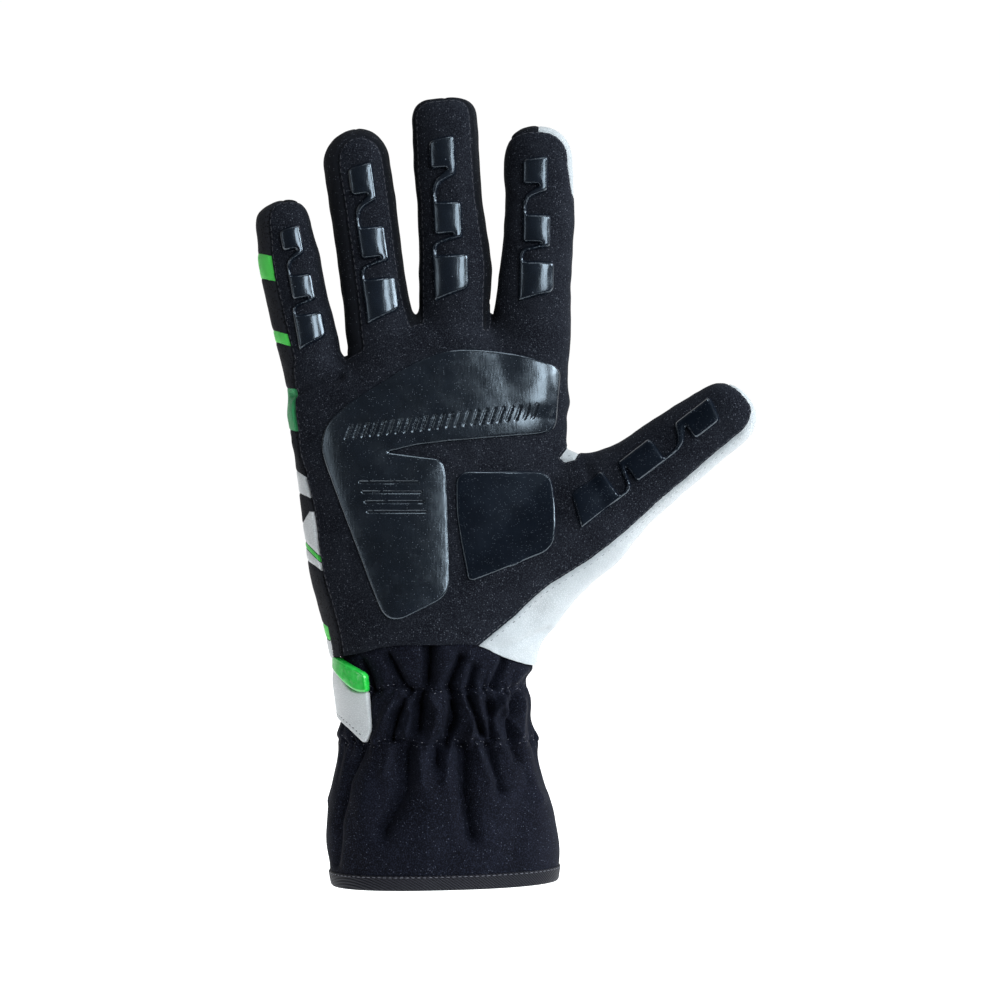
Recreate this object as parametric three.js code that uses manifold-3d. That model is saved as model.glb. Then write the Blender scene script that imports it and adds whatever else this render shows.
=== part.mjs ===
// A right-hand karting glove, filled out as on a hand, fingers up and palm towards -Y.
// X runs across the palm towards the thumb, Z runs up towards the fingertips, in millimetres.
// The origin is the middle of the wrist, where the elastic gathers grip.
// The hand is one hollow shell of sewn panels, and the gauntlet is a gathered tube sewn under it.

import * as THREE from "three";
import { mergeVertices } from "three/addons/utils/BufferGeometryUtils.js";
import Module from "manifold-3d";

const wasm = await Module();
wasm.setup();

// Driving dimensions, in millimetres
const PALM_WIDTH = 99;
const PALM_LENGTH = 112;
const HAND_DEPTH = 34;
const LITTLE_LENGTH = 53;
const LITTLE_WIDTH = 21;
const RING_LENGTH = 72;
const RING_WIDTH = 22.5;
const MIDDLE_LENGTH = 78.5;
const MIDDLE_WIDTH = 24.5;
const INDEX_LENGTH = 72.5;
const INDEX_WIDTH = 24;
const THUMB_LENGTH = 61.5;
const THUMB_WIDTH = 27;
const WRIST_SEAM_HEIGHT = 17.5;
const CUFF_LENGTH = 81;
const CUFF_WIDTH = 81.5;
const CUFF_DEPTH = 54;
const BINDING_HEIGHT = 5.2;
const BINDING_RISE = 0.45;
const FABRIC_WALL = 1.6;
const SEAM_GAP = 0.3;
const FINGER_CURL = 7;
const THUMB_FORWARD = 11;
const GRIP_THICKNESS = 0.8;
const PATCH_THICKNESS = 1.1;
const TAB_THICKNESS = 1.6;
const PALM_WRAP = 1.2;
const FOURCHETTE_WRAP = 4.5;
const FOLD_DEPTH = 3.4;

// Mesh fineness
const FINGER_SIDES = 10;
const HAND_SIDES = 20;
const CUFF_SIDES = 36;
const CUFF_RINGS = 13;
const CAP_RINGS = 3;
const CAP_STEPS = 5;
const CORNER_STEPS = 2;
const CUT_TOLERANCE = 0.06;
const FAR = 400;

// Section roundness: 2 is an ellipse, more is squarer
const FINGER_POWER = 2.25;
const HAND_POWER = 2.35;

// Fingers. across is a share of the palm's width and up of its length, from the wrist seam.
// depth is a share of the width. Rows: at is a share of the finger's length from its root,
// left and right of its width, and thick of its depth. Insets are shares of its width too:
// how far the palm panel stands back from the outline.
const FINGERS = {
  little: {
    length: LITTLE_LENGTH, width: LITTLE_WIDTH, depth: 0.833,
    across: -0.445, up: 0.9375, lean: -10.3,
    capStart: 0.8, capPower: 2.5,
    panelFrom: -0.2, insetLeft: 0.233, insetRight: -0.071, insetTip: 0.033,
    rows: [
      { at: -0.45, left: 0.46, right: 0.44, thick: 1.1 },
      { at: 0, left: 0.54, right: 0.49, thick: 1.1 },
      { at: 0.3, left: 0.585, right: 0.44, thick: 1.03 },
      { at: 0.6, left: 0.6, right: 0.42, thick: 1 },
      { at: 0.8, left: 0.545, right: 0.38, thick: 0.94 },
    ],
  },
  ring: {
    length: RING_LENGTH, width: RING_WIDTH, depth: 0.867,
    across: -0.191, up: 0.984, lean: -7.3,
    capStart: 0.82, capPower: 2.1,
    panelFrom: -0.2, insetLeft: 0.231, insetRight: 0.08, insetTip: 0.142,
    rows: [
      { at: -0.3, left: 0.53, right: 0.5, thick: 1.08 },
      { at: 0, left: 0.57, right: 0.54, thick: 1.08 },
      { at: 0.2, left: 0.555, right: 0.47, thick: 1.04 },
      { at: 0.55, left: 0.56, right: 0.462, thick: 1 },
      { at: 0.82, left: 0.575, right: 0.46, thick: 0.93 },
    ],
  },
  middle: {
    length: MIDDLE_LENGTH, width: MIDDLE_WIDTH, depth: 0.837,
    across: 0.067, up: 1.015, lean: -2.8,
    capStart: 0.87, capPower: 3.4,
    panelFrom: -0.2, insetLeft: 0.037, insetRight: 0.078, insetTip: 0.033,
    rows: [
      { at: -0.3, left: 0.5, right: 0.48, thick: 1.08 },
      { at: 0, left: 0.53, right: 0.49, thick: 1.08 },
      { at: 0.27, left: 0.485, right: 0.55, thick: 1.03 },
      { at: 0.5, left: 0.465, right: 0.475, thick: 1 },
      { at: 0.7, left: 0.485, right: 0.45, thick: 0.97 },
      { at: 0.87, left: 0.478, right: 0.452, thick: 0.9 },
    ],
  },
  index: {
    length: INDEX_LENGTH, width: INDEX_WIDTH, depth: 0.854,
    across: 0.335, up: 0.984, lean: 1.8,
    capStart: 0.82, capPower: 2.3,
    panelFrom: -0.2, insetLeft: -0.062, insetRight: -0.062, insetTip: 0.058,
    rows: [
      { at: -0.3, left: 0.56, right: 0.52, thick: 1.1 },
      { at: 0, left: 0.6, right: 0.57, thick: 1.1 },
      { at: 0.25, left: 0.52, right: 0.55, thick: 1.04 },
      { at: 0.58, left: 0.45, right: 0.562, thick: 1 },
      { at: 0.82, left: 0.485, right: 0.505, thick: 0.93 },
    ],
  },
  thumb: {
    length: THUMB_LENGTH, width: THUMB_WIDTH, depth: 0.815,
    across: 0.587, up: 0.4656, lean: 55,
    capStart: 0.8, capPower: 2.2,
    panelFrom: 0.29, insetLeft: -0.056, insetRight: 0.126, insetTip: 0.033,
    rows: [
      { at: -0.8, left: 0.3, right: 0.74, thick: 1.3 },
      { at: -0.64, left: 0.36, right: 0.86, thick: 1.45 },
      { at: -0.47, left: 0.42, right: 0.815, thick: 1.52 },
      { at: -0.29, left: 0.5, right: 0.785, thick: 1.52 },
      { at: -0.11, left: 0.58, right: 0.745, thick: 1.42 },
      { at: 0.02, left: 0.6, right: 0.65, thick: 1.28 },
      { at: 0.12, left: 0.548, right: 0.593, thick: 1.18 },
      { at: 0.29, left: 0.507, right: 0.533, thick: 1.08 },
      { at: 0.49, left: 0.496, right: 0.489, thick: 1.02 },
      { at: 0.8, left: 0.455, right: 0.42, thick: 0.9 },
    ],
  },
};

// The hand without its fingers. up is a share of the palm's length, left and right of its width,
// front and back of the hand's depth, and inset of the palm's width: the palm panel's setback
// at the outer side.
const HAND_ROWS = [
  { up: -0.2, left: 0.36, right: 0.33, front: 0.67, back: 0.67, inset: 0.05 },
  { up: 0, left: 0.382, right: 0.36, front: 0.675, back: 0.675, inset: 0.05 },
  { up: 0.1, left: 0.408, right: 0.39, front: 0.64, back: 0.62, inset: 0.054 },
  { up: 0.25, left: 0.452, right: 0.42, front: 0.57, back: 0.53, inset: 0.049 },
  { up: 0.42, left: 0.478, right: 0.445, front: 0.51, back: 0.49, inset: 0.048 },
  { up: 0.6, left: 0.503, right: 0.455, front: 0.48, back: 0.48, inset: 0.027 },
  { up: 0.78, left: 0.536, right: 0.46, front: 0.44, back: 0.48, inset: 0.034 },
  { up: 0.9, left: 0.552, right: 0.462, front: 0.38, back: 0.43, inset: 0.045 },
  { up: 0.955, left: 0.42, right: 0.46, front: 0.34, back: 0.38, inset: 0.045 },
  { up: 0.985, left: 0.24, right: 0.42, front: 0.28, back: 0.3, inset: 0.045 },
  { up: 1.03, left: 0.12, right: 0.22, front: 0.14, back: 0.16, inset: 0.045 },
];

// The gathered gauntlet. down is a share of its length below the wrist seam, left and right of
// its width, deep of its depth, and slope the tilt of that section, right side up.
const CUFF_ROWS = [
  { down: -0.1, left: 0.468, right: 0.445, deep: 0.86, slope: 0 },
  { down: 0.02, left: 0.456, right: 0.434, deep: 0.85, slope: 0 },
  { down: 0.13, left: 0.434, right: 0.378, deep: 0.81, slope: 0 },
  { down: 0.216, left: 0.424, right: 0.393, deep: 0.78, slope: 0 },
  { down: 0.302, left: 0.411, right: 0.395, deep: 0.77, slope: 0 },
  { down: 0.389, left: 0.417, right: 0.42, deep: 0.8, slope: 0 },
  { down: 0.475, left: 0.43, right: 0.434, deep: 0.85, slope: 0.004 },
  { down: 0.562, left: 0.451, right: 0.459, deep: 0.91, slope: 0.01 },
  { down: 0.648, left: 0.464, right: 0.485, deep: 0.95, slope: 0.015 },
  { down: 0.735, left: 0.476, right: 0.507, deep: 0.98, slope: 0.02 },
  { down: 0.821, left: 0.473, right: 0.523, deep: 1, slope: 0.022 },
  { down: 0.907, left: 0.464, right: 0.524, deep: 1, slope: 0.022 },
  { down: 1, left: 0.447, right: 0.516, deep: 1, slope: 0.022 },
];

// Valleys of the gathers on the palm side, from the wrist seam through the two elastic lines
// into the skirt. x is a share of the cuff's width, down of its length, wide of its width.
const FOLD_ROWS = [
  { x0: -0.24, down0: 0.1, x1: -0.17, down1: 0.26, wide: 0.035, deep: 0.8 },
  { x0: -0.12, down0: 0.04, x1: -0.09, down1: 0.24, wide: 0.03, deep: 0.8 },
  { x0: -0.02, down0: 0, x1: -0.02, down1: 0.24, wide: 0.05, deep: 1 },
  { x0: 0.11, down0: 0.03, x1: 0.08, down1: 0.24, wide: 0.03, deep: 0.8 },
  { x0: 0.24, down0: 0.1, x1: 0.19, down1: 0.26, wide: 0.035, deep: 0.8 },
  { x0: -0.15, down0: 0.2, x1: -0.2, down1: 0.42, wide: 0.045, deep: 1 },
  { x0: -0.05, down0: 0.2, x1: -0.09, down1: 0.42, wide: 0.04, deep: 1 },
  { x0: 0.09, down0: 0.22, x1: 0.05, down1: 0.4, wide: 0.035, deep: 0.9 },
  { x0: 0.15, down0: 0.2, x1: 0.14, down1: 0.42, wide: 0.035, deep: 1 },
  { x0: 0.25, down0: 0.2, x1: 0.29, down1: 0.4, wide: 0.035, deep: 0.9 },
  { x0: -0.12, down0: 0.4, x1: -0.15, down1: 0.78, wide: 0.055, deep: 1 },
  { x0: -0.27, down0: 0.42, x1: -0.34, down1: 0.7, wide: 0.04, deep: 0.7 },
  { x0: 0.1, down0: 0.42, x1: 0.13, down1: 0.84, wide: 0.05, deep: 1 },
  { x0: 0.2, down0: 0.4, x1: 0.3, down1: 0.66, wide: 0.04, deep: 0.8 },
];

// Panels let into the outer side of the back. top and bottom are shares of the palm's length
// where they meet the outline, fall is how far they drop across their width, reach is the
// share of the palm's width from the middle at which they end on the back.
const SIDE_PANELS = [
  { name: "finger_patch_upper", slot: "green_fabric", top: 1.24, bottom: 1.165, fall: 0.028, reach: -0.5 },
  { name: "finger_patch_lower", slot: "green_fabric", top: 0.992, bottom: 0.952, fall: 0.02, reach: -0.455 },
  { name: "knuckle_patch", slot: "green_fabric", top: 0.83, bottom: 0.705, fall: 0.02, reach: -0.36 },
  { name: "side_panel_upper", slot: "white_leather", top: 0.56, bottom: 0.49, fall: 0.06, reach: -0.3 },
  { name: "side_panel_middle", slot: "white_leather", top: 0.425, bottom: 0.352, fall: 0.06, reach: -0.28 },
  { name: "side_stripe", slot: "green_fabric", top: 0.349, bottom: 0.331, fall: 0.06, reach: -0.28 },
  { name: "side_panel_lower", slot: "white_leather", top: 0.328, bottom: 0.285, fall: 0.06, reach: -0.28 },
  { name: "heel_stripe", slot: "green_fabric", top: 0.105, bottom: 0.068, fall: 0.05, reach: -0.25 },
  { name: "heel_panel", slot: "white_leather", top: 0.065, bottom: -0.03, fall: 0.05, reach: -0.25 },
];

// Where the palm panel dips between the fingers and ends beside the index finger
const PALM_CROTCHES = [
  { x: -0.318, up: 0.912 },
  { x: -0.071, up: 1.02 },
  { x: 0.205, up: 0.998 },
  { x: 0.52, up: 1 },
  { x: 0.52, up: 0.67 },
  { x: 0.425, up: 0.635 },
  { x: 0.44, up: 0.612 },
  { x: 0.53, up: 0.66 },
];
// Where the parts on the fingers begin: at the outer side, beside the index finger, on the thumb
const OUTER_ROOT = 0.905;
const INDEX_ROOT = 1;
const THUMB_ROOT = 0.12;
// The palm panel's edge along the thumb's root: along is a share of the thumb's length,
// aside of its width.
const THUMB_SEAM = [
  { along: 0.3, aside: -0.9 },
  { along: 0.5, aside: -0.7 },
  { along: 0.5, aside: 0.34 },
  { along: 0.29, aside: 0.4 },
  { along: 0.1, aside: 0.466 },
  { along: -0.1, aside: 0.505 },
  { along: -0.27, aside: 0.515 },
  { along: -0.55, aside: 0.49 },
  { along: -0.78, aside: 0.55 },
];

// Silicone cells along each finger, tip to base. from and to are shares of the grip's length,
// half is a share of its width, and shift moves the cell across in the same share.
const GRIP_CELLS = [
  { from: 0, to: 0.225, half: 0.38, shift: -0.06 },
  { from: 0.38, to: 0.6, half: 0.4, shift: 0 },
  { from: 0.725, to: 1, half: 0.5, shift: 0.03 },
];
const GRIP_NECK = 0.17;
// tip and base are shares of the finger's length, width, centre and drift of its width:
// how wide the chain is, where it starts at the tip and how far it strays to the base.
const FINGER_GRIPS = {
  little: { tip: 0.82, base: 0, width: 0.457, centre: 0.06, drift: 0, turn: 1 },
  ring: { tip: 0.83, base: 0.05, width: 0.507, centre: 0.03, drift: 0.02, turn: 1 },
  middle: { tip: 0.83, base: 0.1, width: 0.482, centre: -0.03, drift: -0.01, turn: 1 },
  index: { tip: 0.85, base: 0.15, width: 0.483, centre: 0.0, drift: 0.03, turn: 1 },
  thumb: { tip: 0.82, base: -0.2, width: 0.422, centre: -0.19, drift: 0.1, turn: -1 },
};

// Corners of flat outlines. x is a share of the palm's width from the middle, up of its length,
// and round of its width: the corner's radius.
const PALM_GRIP = [
  { x: 0.434, up: 0.881, round: 0.04 },
  { x: 0.25, up: 0.93, round: 0.2 },
  { x: 0, up: 0.938, round: 0.16 },
  { x: -0.365, up: 0.736, round: 0.12 },
  { x: -0.414, up: 0.64, round: 0.1 },
  { x: -0.292, up: 0.357, round: 0.6 },
  { x: -0.17, up: 0.079, round: 0.08 },
  { x: 0.05, up: 0.176, round: 0.06 },
  { x: 0.037, up: 0.55, round: 0.06 },
  { x: 0.02, up: 0.594, round: 0.03 },
  { x: -0.165, up: 0.616, round: 0.006 },
  { x: -0.05, up: 0.642, round: 0.12 },
  { x: 0.39, up: 0.674, round: 0.05 },
  { x: 0.42, up: 0.7, round: 0.05 },
];
const HEEL_GRIP = [
  { x: 0.4, up: 0.557, round: 0.05 },
  { x: 0.07, up: 0.557, round: 0.05 },
  { x: 0.067, up: 0.43, round: 0.3 },
  { x: 0.112, up: 0.214, round: 0.03 },
  { x: 0.412, up: 0.318, round: 0.06 },
  { x: 0.42, up: 0.43, round: 0.2 },
];
// Where the hand is sewn to the gauntlet: x is a share of the palm's width, rise of its length.
const WRIST_SEAM = [
  { x: -0.45, rise: -0.035 },
  { x: -0.36, rise: -0.02 },
  { x: -0.26, rise: 0 },
  { x: -0.17, rise: 0.02 },
  { x: 0.146, rise: 0.022 },
  { x: 0.244, rise: -0.016 },
  { x: 0.34, rise: -0.045 },
  { x: 0.45, rise: -0.075 },
];

// The white part of the back covers the thumb and the index finger. Same shares as above.
const WHITE_BACK_EDGE = [
  { x: 0.2, up: 2.2 },
  { x: 0.2, up: 1.02 },
  { x: 0.27, up: 0.7 },
  { x: 0.22, up: 0.3 },
  { x: 0.13, up: 0.02 },
  { x: 0.1, up: -0.3 },
];

// The wrist panel and its tab lie over the gathers at the outer side.
// x and round are shares of the cuff's width, down of its length below the wrist seam.
const WRIST_PANEL = [
  { x: -0.6, down: 0.04, round: 0.006 },
  { x: -0.44, down: 0.069, round: 0.037 },
  { x: -0.36, down: 0.168, round: 0.037 },
  { x: -0.292, down: 0.168, round: 0.006 },
  { x: -0.275, down: 0.337, round: 0.025 },
  { x: -0.305, down: 0.389, round: 0.018 },
  { x: -0.41, down: 0.3, round: 0.098 },
  { x: -0.6, down: 0.2, round: 0.006 },
];
const WRIST_TAB = [
  { x: -0.452, down: 0.02, round: 0.012 },
  { x: -0.3, down: 0.09, round: 0.018 },
  { x: -0.292, down: 0.168, round: 0.018 },
  { x: -0.344, down: 0.168, round: 0.037 },
  { x: -0.404, down: 0.125, round: 0.037 },
  { x: -0.452, down: 0.075, round: 0.012 },
];
const SLEEVE_TOP = -0.06;
const SLEEVE_BOTTOM = 0.5;
const SLEEVE_RINGS = 5;

// Slots and their finishes
const FINISHES = {
  black_suede: { color: 0x14151c, roughness: 0.92, metalness: 0 },
  black_fabric: { color: 0x101116, roughness: 0.85, metalness: 0 },
  fourchette_fabric: { color: 0x0b0b0e, roughness: 0.9, metalness: 0 },
  cuff_fabric: { color: 0x171a26, roughness: 0.88, metalness: 0 },
  binding_tape: { color: 0x0d0e12, roughness: 0.6, metalness: 0 },
  silicone: { color: 0x1d232b, roughness: 0.18, metalness: 0 },
  white_leather: { color: 0xdfe3e8, roughness: 0.5, metalness: 0 },
  green_fabric: { color: 0x35c44a, roughness: 0.6, metalness: 0 },
  green_rubber: { color: 0x1fc23e, roughness: 0.3, metalness: 0 },
};

// A value of a table at a position, on a smooth curve through the rows
function valueAt(rows, key, column, position) {
  const last = rows.length - 1;
  if (position <= rows[0][key]) return rows[0][column];
  if (position >= rows[last][key]) return rows[last][column];
  const k = rows.findIndex((row) => row[key] > position) - 1;
  const slope = (a, b) => (rows[b][column] - rows[a][column]) / (rows[b][key] - rows[a][key]);
  const span = rows[k + 1][key] - rows[k][key];
  const t = (position - rows[k][key]) / span;
  const steady = slope(k, k + 1);
  const before = k > 0 ? (slope(k - 1, k) + steady) / 2 : steady;
  const after = k + 2 <= last ? (slope(k + 1, k + 2) + steady) / 2 : steady;
  const [t2, t3] = [t * t, t * t * t];
  return (
    (2 * t3 - 3 * t2 + 1) * rows[k][column] +
    (t3 - 2 * t2 + t) * span * before +
    (3 * t2 - 2 * t3) * rows[k + 1][column] +
    (t3 - t2) * span * after
  );
}

const smooth = (t) => t * t * (3 - 2 * t);
const clamp01 = (t) => Math.min(1, Math.max(0, t));
const heightOf = (up) => WRIST_SEAM_HEIGHT + up * PALM_LENGTH;
const cuffHeightOf = (down) => WRIST_SEAM_HEIGHT - down * CUFF_LENGTH;

// Each finger's place: its root, the way it points and the way across it
function fingerFrame(finger) {
  const lean = THREE.MathUtils.degToRad(finger.lean);
  return {
    root: new THREE.Vector2(finger.across * PALM_WIDTH, heightOf(finger.up)),
    along: new THREE.Vector2(Math.sin(lean), Math.cos(lean)),
    aside: new THREE.Vector2(Math.cos(lean), -Math.sin(lean)),
  };
}

// A point in the palm's plane from a finger's own coordinates
function onFinger(finger, along, aside) {
  const { root, along: a, aside: s } = fingerFrame(finger);
  return root.clone().addScaledVector(a, along).addScaledVector(s, aside);
}

// How far forward the middle of the glove lies: the fingers curl and the thumb stands forward
const CURL_START = heightOf(0.75);
const CURL_REACH = fingerTipHeight() - CURL_START;
const THUMB_START = PALM_WIDTH * 0.42;
const THUMB_REACH = onFinger(FINGERS.thumb, FINGERS.thumb.length, 0).x - THUMB_START;

function fingerTipHeight() {
  return onFinger(FINGERS.middle, FINGERS.middle.length, 0).y;
}

function middleLine(x, z) {
  const curl = clamp01((z - CURL_START) / CURL_REACH);
  const out = Math.max(0, (x - THUMB_START) / THUMB_REACH);
  return -FINGER_CURL * curl * curl - THUMB_FORWARD * Math.pow(out, 1.2);
}

// A ring of points round a section: its centre in the palm's plane, the way across, half sizes
function ringOf(centre, aside, half, power, sides) {
  const ring = [];
  for (let k = 0; k < sides; k++) {
    const turn = (2 * Math.PI * k) / sides;
    const [c, s] = [Math.cos(turn), Math.sin(turn)];
    const across = Math.sign(c) * Math.pow(Math.abs(c), 2 / power) * (c < 0 ? half.left : half.right);
    const deep = Math.sign(s) * Math.pow(Math.abs(s), 2 / power) * (s < 0 ? half.front : half.back);
    ring.push(
      new THREE.Vector3(
        centre.x + aside.x * across,
        middleLine(centre.x, centre.y) + deep,
        centre.y + aside.y * across,
      ),
    );
  }
  return ring;
}

function geometryOf(points, triangles) {
  const positions = new Float32Array(points.length * 3);
  points.forEach((p, k) => positions.set([p.x, p.y, p.z], 3 * k));
  const geometry = new THREE.BufferGeometry();
  geometry.setAttribute("position", new THREE.BufferAttribute(positions, 3));
  geometry.setIndex(triangles);
  return geometry;
}

// Triangles between neighbouring rings, facing out when the rings run upwards
function bandsBetween(count, sides, first = 0, flip = false) {
  const triangles = [];
  for (let k = 0; k < count - 1; k++) {
    for (let j = 0; j < sides; j++) {
      const a = first + k * sides + j;
      const b = first + k * sides + ((j + 1) % sides);
      const [c, d] = [b + sides, a + sides];
      triangles.push(...(flip ? [a, c, b, a, d, c] : [a, b, c, a, c, d]));
    }
  }
  return triangles;
}

const centreOf = (ring) =>
  ring.reduce((sum, p) => sum.add(p), new THREE.Vector3()).divideScalar(ring.length);

// A closed solid through rings that run upwards
function loft(rings) {
  const sides = rings[0].length;
  const points = [...rings.flat(), centreOf(rings[0]), centreOf(rings.at(-1))];
  const bottom = points.length - 2;
  const top = points.length - 1;
  const last = (rings.length - 1) * sides;
  const triangles = bandsBetween(rings.length, sides);
  for (let j = 0; j < sides; j++) {
    const next = (j + 1) % sides;
    triangles.push(bottom, next, j, top, last + j, last + next);
  }
  return geometryOf(points, triangles);
}

// A closed tube between outer and inner rings that run upwards, open at both ends
function tube(outer, inner) {
  const sides = outer[0].length;
  const count = outer.length;
  const points = [...outer.flat(), ...inner.flat()];
  const inside = count * sides;
  const triangles = [
    ...bandsBetween(count, sides),
    ...bandsBetween(count, sides, inside, true),
  ];
  const last = (count - 1) * sides;
  for (let j = 0; j < sides; j++) {
    const next = (j + 1) % sides;
    triangles.push(j, inside + j, inside + next, j, inside + next, next);
    triangles.push(last + j, last + next, inside + last + next);
    triangles.push(last + j, inside + last + next, inside + last + j);
  }
  return geometryOf(points, triangles);
}

// Solids for cutting and joining
function solidOf(geometry) {
  const bare = geometry.index ? geometry.toNonIndexed() : geometry.clone();
  for (const name of Object.keys(bare.attributes)) {
    if (name !== "position") bare.deleteAttribute(name);
  }
  const merged = mergeVertices(bare, 1e-4);
  return new wasm.Manifold(
    new wasm.Mesh({
      numProp: 3,
      vertProperties: merged.attributes.position.array,
      triVerts: new Uint32Array(merged.index.array),
    }),
  );
}

function joined(solids) {
  return solids.reduce((sum, solid) => sum.add(solid));
}

function geometryFromSolid(solid) {
  const mesh = solid.getMesh();
  const geometry = new THREE.BufferGeometry();
  const positions = new Float32Array(mesh.numVert * 3);
  for (let k = 0; k < mesh.numVert; k++) {
    positions.set(mesh.vertProperties.subarray(k * mesh.numProp, k * mesh.numProp + 3), 3 * k);
  }
  geometry.setAttribute("position", new THREE.BufferAttribute(positions, 3));
  geometry.setIndex(new THREE.BufferAttribute(new Uint32Array(mesh.triVerts), 1));
  return geometry;
}

// The largest connected body, which leaves out crumbs where two cuts cross
function mainBody(solid) {
  return solid
    .simplify(CUT_TOLERANCE)
    .decompose()
    .reduce((best, body) => (body.volume() > best.volume() ? body : best));
}

// One finger's solid, with every face moved out by grow
function fingerSolid(finger, grow) {
  const { aside } = fingerFrame(finger);
  const halfAt = (at, scale) => {
    const row = (column) => valueAt(finger.rows, "at", column, at);
    const thick = (row("thick") * finger.depth * finger.width) / 2 + grow;
    return {
      left: (row("left") * finger.width + grow) * scale,
      right: (row("right") * finger.width + grow) * scale,
      front: thick * scale,
      back: thick * scale,
    };
  };
  const ringAt = (along, half) =>
    ringOf(onFinger(finger, along, 0), aside, half, FINGER_POWER, FINGER_SIDES);
  const rings = finger.rows.map(({ at }) => ringAt(at * finger.length, halfAt(at, 1)));
  const capLength = (1 - finger.capStart) * finger.length + grow;
  for (let k = 1; k <= CAP_RINGS; k++) {
    const turn = (Math.PI / 2) * (k / (CAP_RINGS + 0.6));
    const rise = Math.pow(Math.sin(turn), 2 / finger.capPower);
    const scale = Math.pow(Math.cos(turn), 2 / finger.capPower);
    const at = finger.capStart;
    rings.push(ringAt(at * finger.length + rise * capLength, halfAt(at, scale)));
  }
  const tip = onFinger(finger, finger.capStart * finger.length + capLength, 0);
  rings.push(ringAt(finger.capStart * finger.length + capLength, halfAt(finger.capStart, 0.08)));
  rings.at(-1).forEach((p) => (p.y = (p.y + 3 * middleLine(tip.x, tip.y)) / 4));
  return solidOf(loft(rings));
}

function handSolid(grow) {
  const aside = new THREE.Vector2(1, 0);
  const rings = HAND_ROWS.map((row) => {
    const half = {
      left: row.left * PALM_WIDTH + grow,
      right: row.right * PALM_WIDTH + grow,
      front: row.front * HAND_DEPTH + grow,
      back: row.back * HAND_DEPTH + grow,
    };
    const z = heightOf(row.up) + (row === HAND_ROWS.at(-1) ? grow : 0);
    return ringOf(new THREE.Vector2(0, z), aside, half, HAND_POWER, HAND_SIDES);
  });
  return solidOf(loft(rings));
}

function gloveSolid(grow) {
  return joined([handSolid(grow), ...Object.values(FINGERS).map((f) => fingerSolid(f, grow))]);
}

// A flat outline in the palm's plane, cut through the glove from one depth to another
function prism(points, from = -FAR, to = FAR) {
  const shape = new THREE.Shape(points);
  return solidOf(
    new THREE.ExtrudeGeometry(shape, { depth: to - from, bevelEnabled: false, curveSegments: 5 })
      .rotateX(Math.PI / 2)
      .translate(0, to, 0),
  );
}

// A polygon with rounded corners, as a list of points
function rounded(corners) {
  const path = new THREE.Path();
  const count = corners.length;
  corners.forEach((corner, k) => {
    const before = corners[(k + count - 1) % count].at;
    const after = corners[(k + 1) % count].at;
    const reach = (end) => Math.min(corner.round, corner.at.distanceTo(end) * 0.45);
    const enter = corner.at.clone().lerp(before, reach(before) / corner.at.distanceTo(before));
    const leave = corner.at.clone().lerp(after, reach(after) / corner.at.distanceTo(after));
    if (k === 0) path.moveTo(enter.x, enter.y);
    else path.lineTo(enter.x, enter.y);
    path.quadraticCurveTo(corner.at.x, corner.at.y, leave.x, leave.y);
  });
  return path.getPoints(CORNER_STEPS);
}

// Moves a closed outline out by a distance
function grown(points, distance) {
  const count = points.length;
  const side = THREE.ShapeUtils.isClockWise(points) ? -1 : 1;
  const outward = (a, b) => {
    const way = b.clone().sub(a).normalize();
    return new THREE.Vector2(side * way.y, -side * way.x);
  };
  return points.map((p, k) => {
    const before = outward(points[(k + count - 1) % count], p);
    const after = outward(p, points[(k + 1) % count]);
    const miter = distance / Math.max(0.35, 1 + before.dot(after));
    return p.clone().addScaledVector(before.add(after), miter);
  });
}

// Everything in front of the glove's middle sheet, moved back by a distance
function inFrontOf(back) {
  const left = -PALM_WIDTH;
  const right = THUMB_START + THUMB_REACH * 1.15;
  const low = cuffHeightOf(1.5);
  const high = fingerTipHeight() + FINGERS.middle.width;
  const [columns, levels] = [10, 12];
  const sheet = [];
  const plane = [];
  for (let k = 0; k <= levels; k++) {
    for (let j = 0; j <= columns; j++) {
      const x = left + ((right - left) * j) / columns;
      const z = low + ((high - low) * k) / levels;
      sheet.push(new THREE.Vector3(x, middleLine(x, z) + back, z));
      plane.push(new THREE.Vector3(x, -FAR, z));
    }
  }
  const row = columns + 1;
  const under = sheet.length;
  const triangles = [];
  for (let k = 0; k < levels; k++) {
    for (let j = 0; j < columns; j++) {
      const a = k * row + j;
      const [b, c, d] = [a + 1, a + row + 1, a + row];
      triangles.push(a, c, b, a, d, c);
      triangles.push(under + a, under + b, under + c, under + a, under + c, under + d);
    }
  }
  const edge = (a, b) => triangles.push(a, b, under + b, a, under + b, under + a);
  for (let j = 0; j < columns; j++) {
    edge(j, j + 1);
    edge(levels * row + j + 1, levels * row + j);
  }
  for (let k = 0; k < levels; k++) {
    edge((k + 1) * row, k * row);
    edge(k * row + columns, (k + 1) * row + columns);
  }
  return solidOf(geometryOf([...sheet, ...plane], triangles));
}

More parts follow.
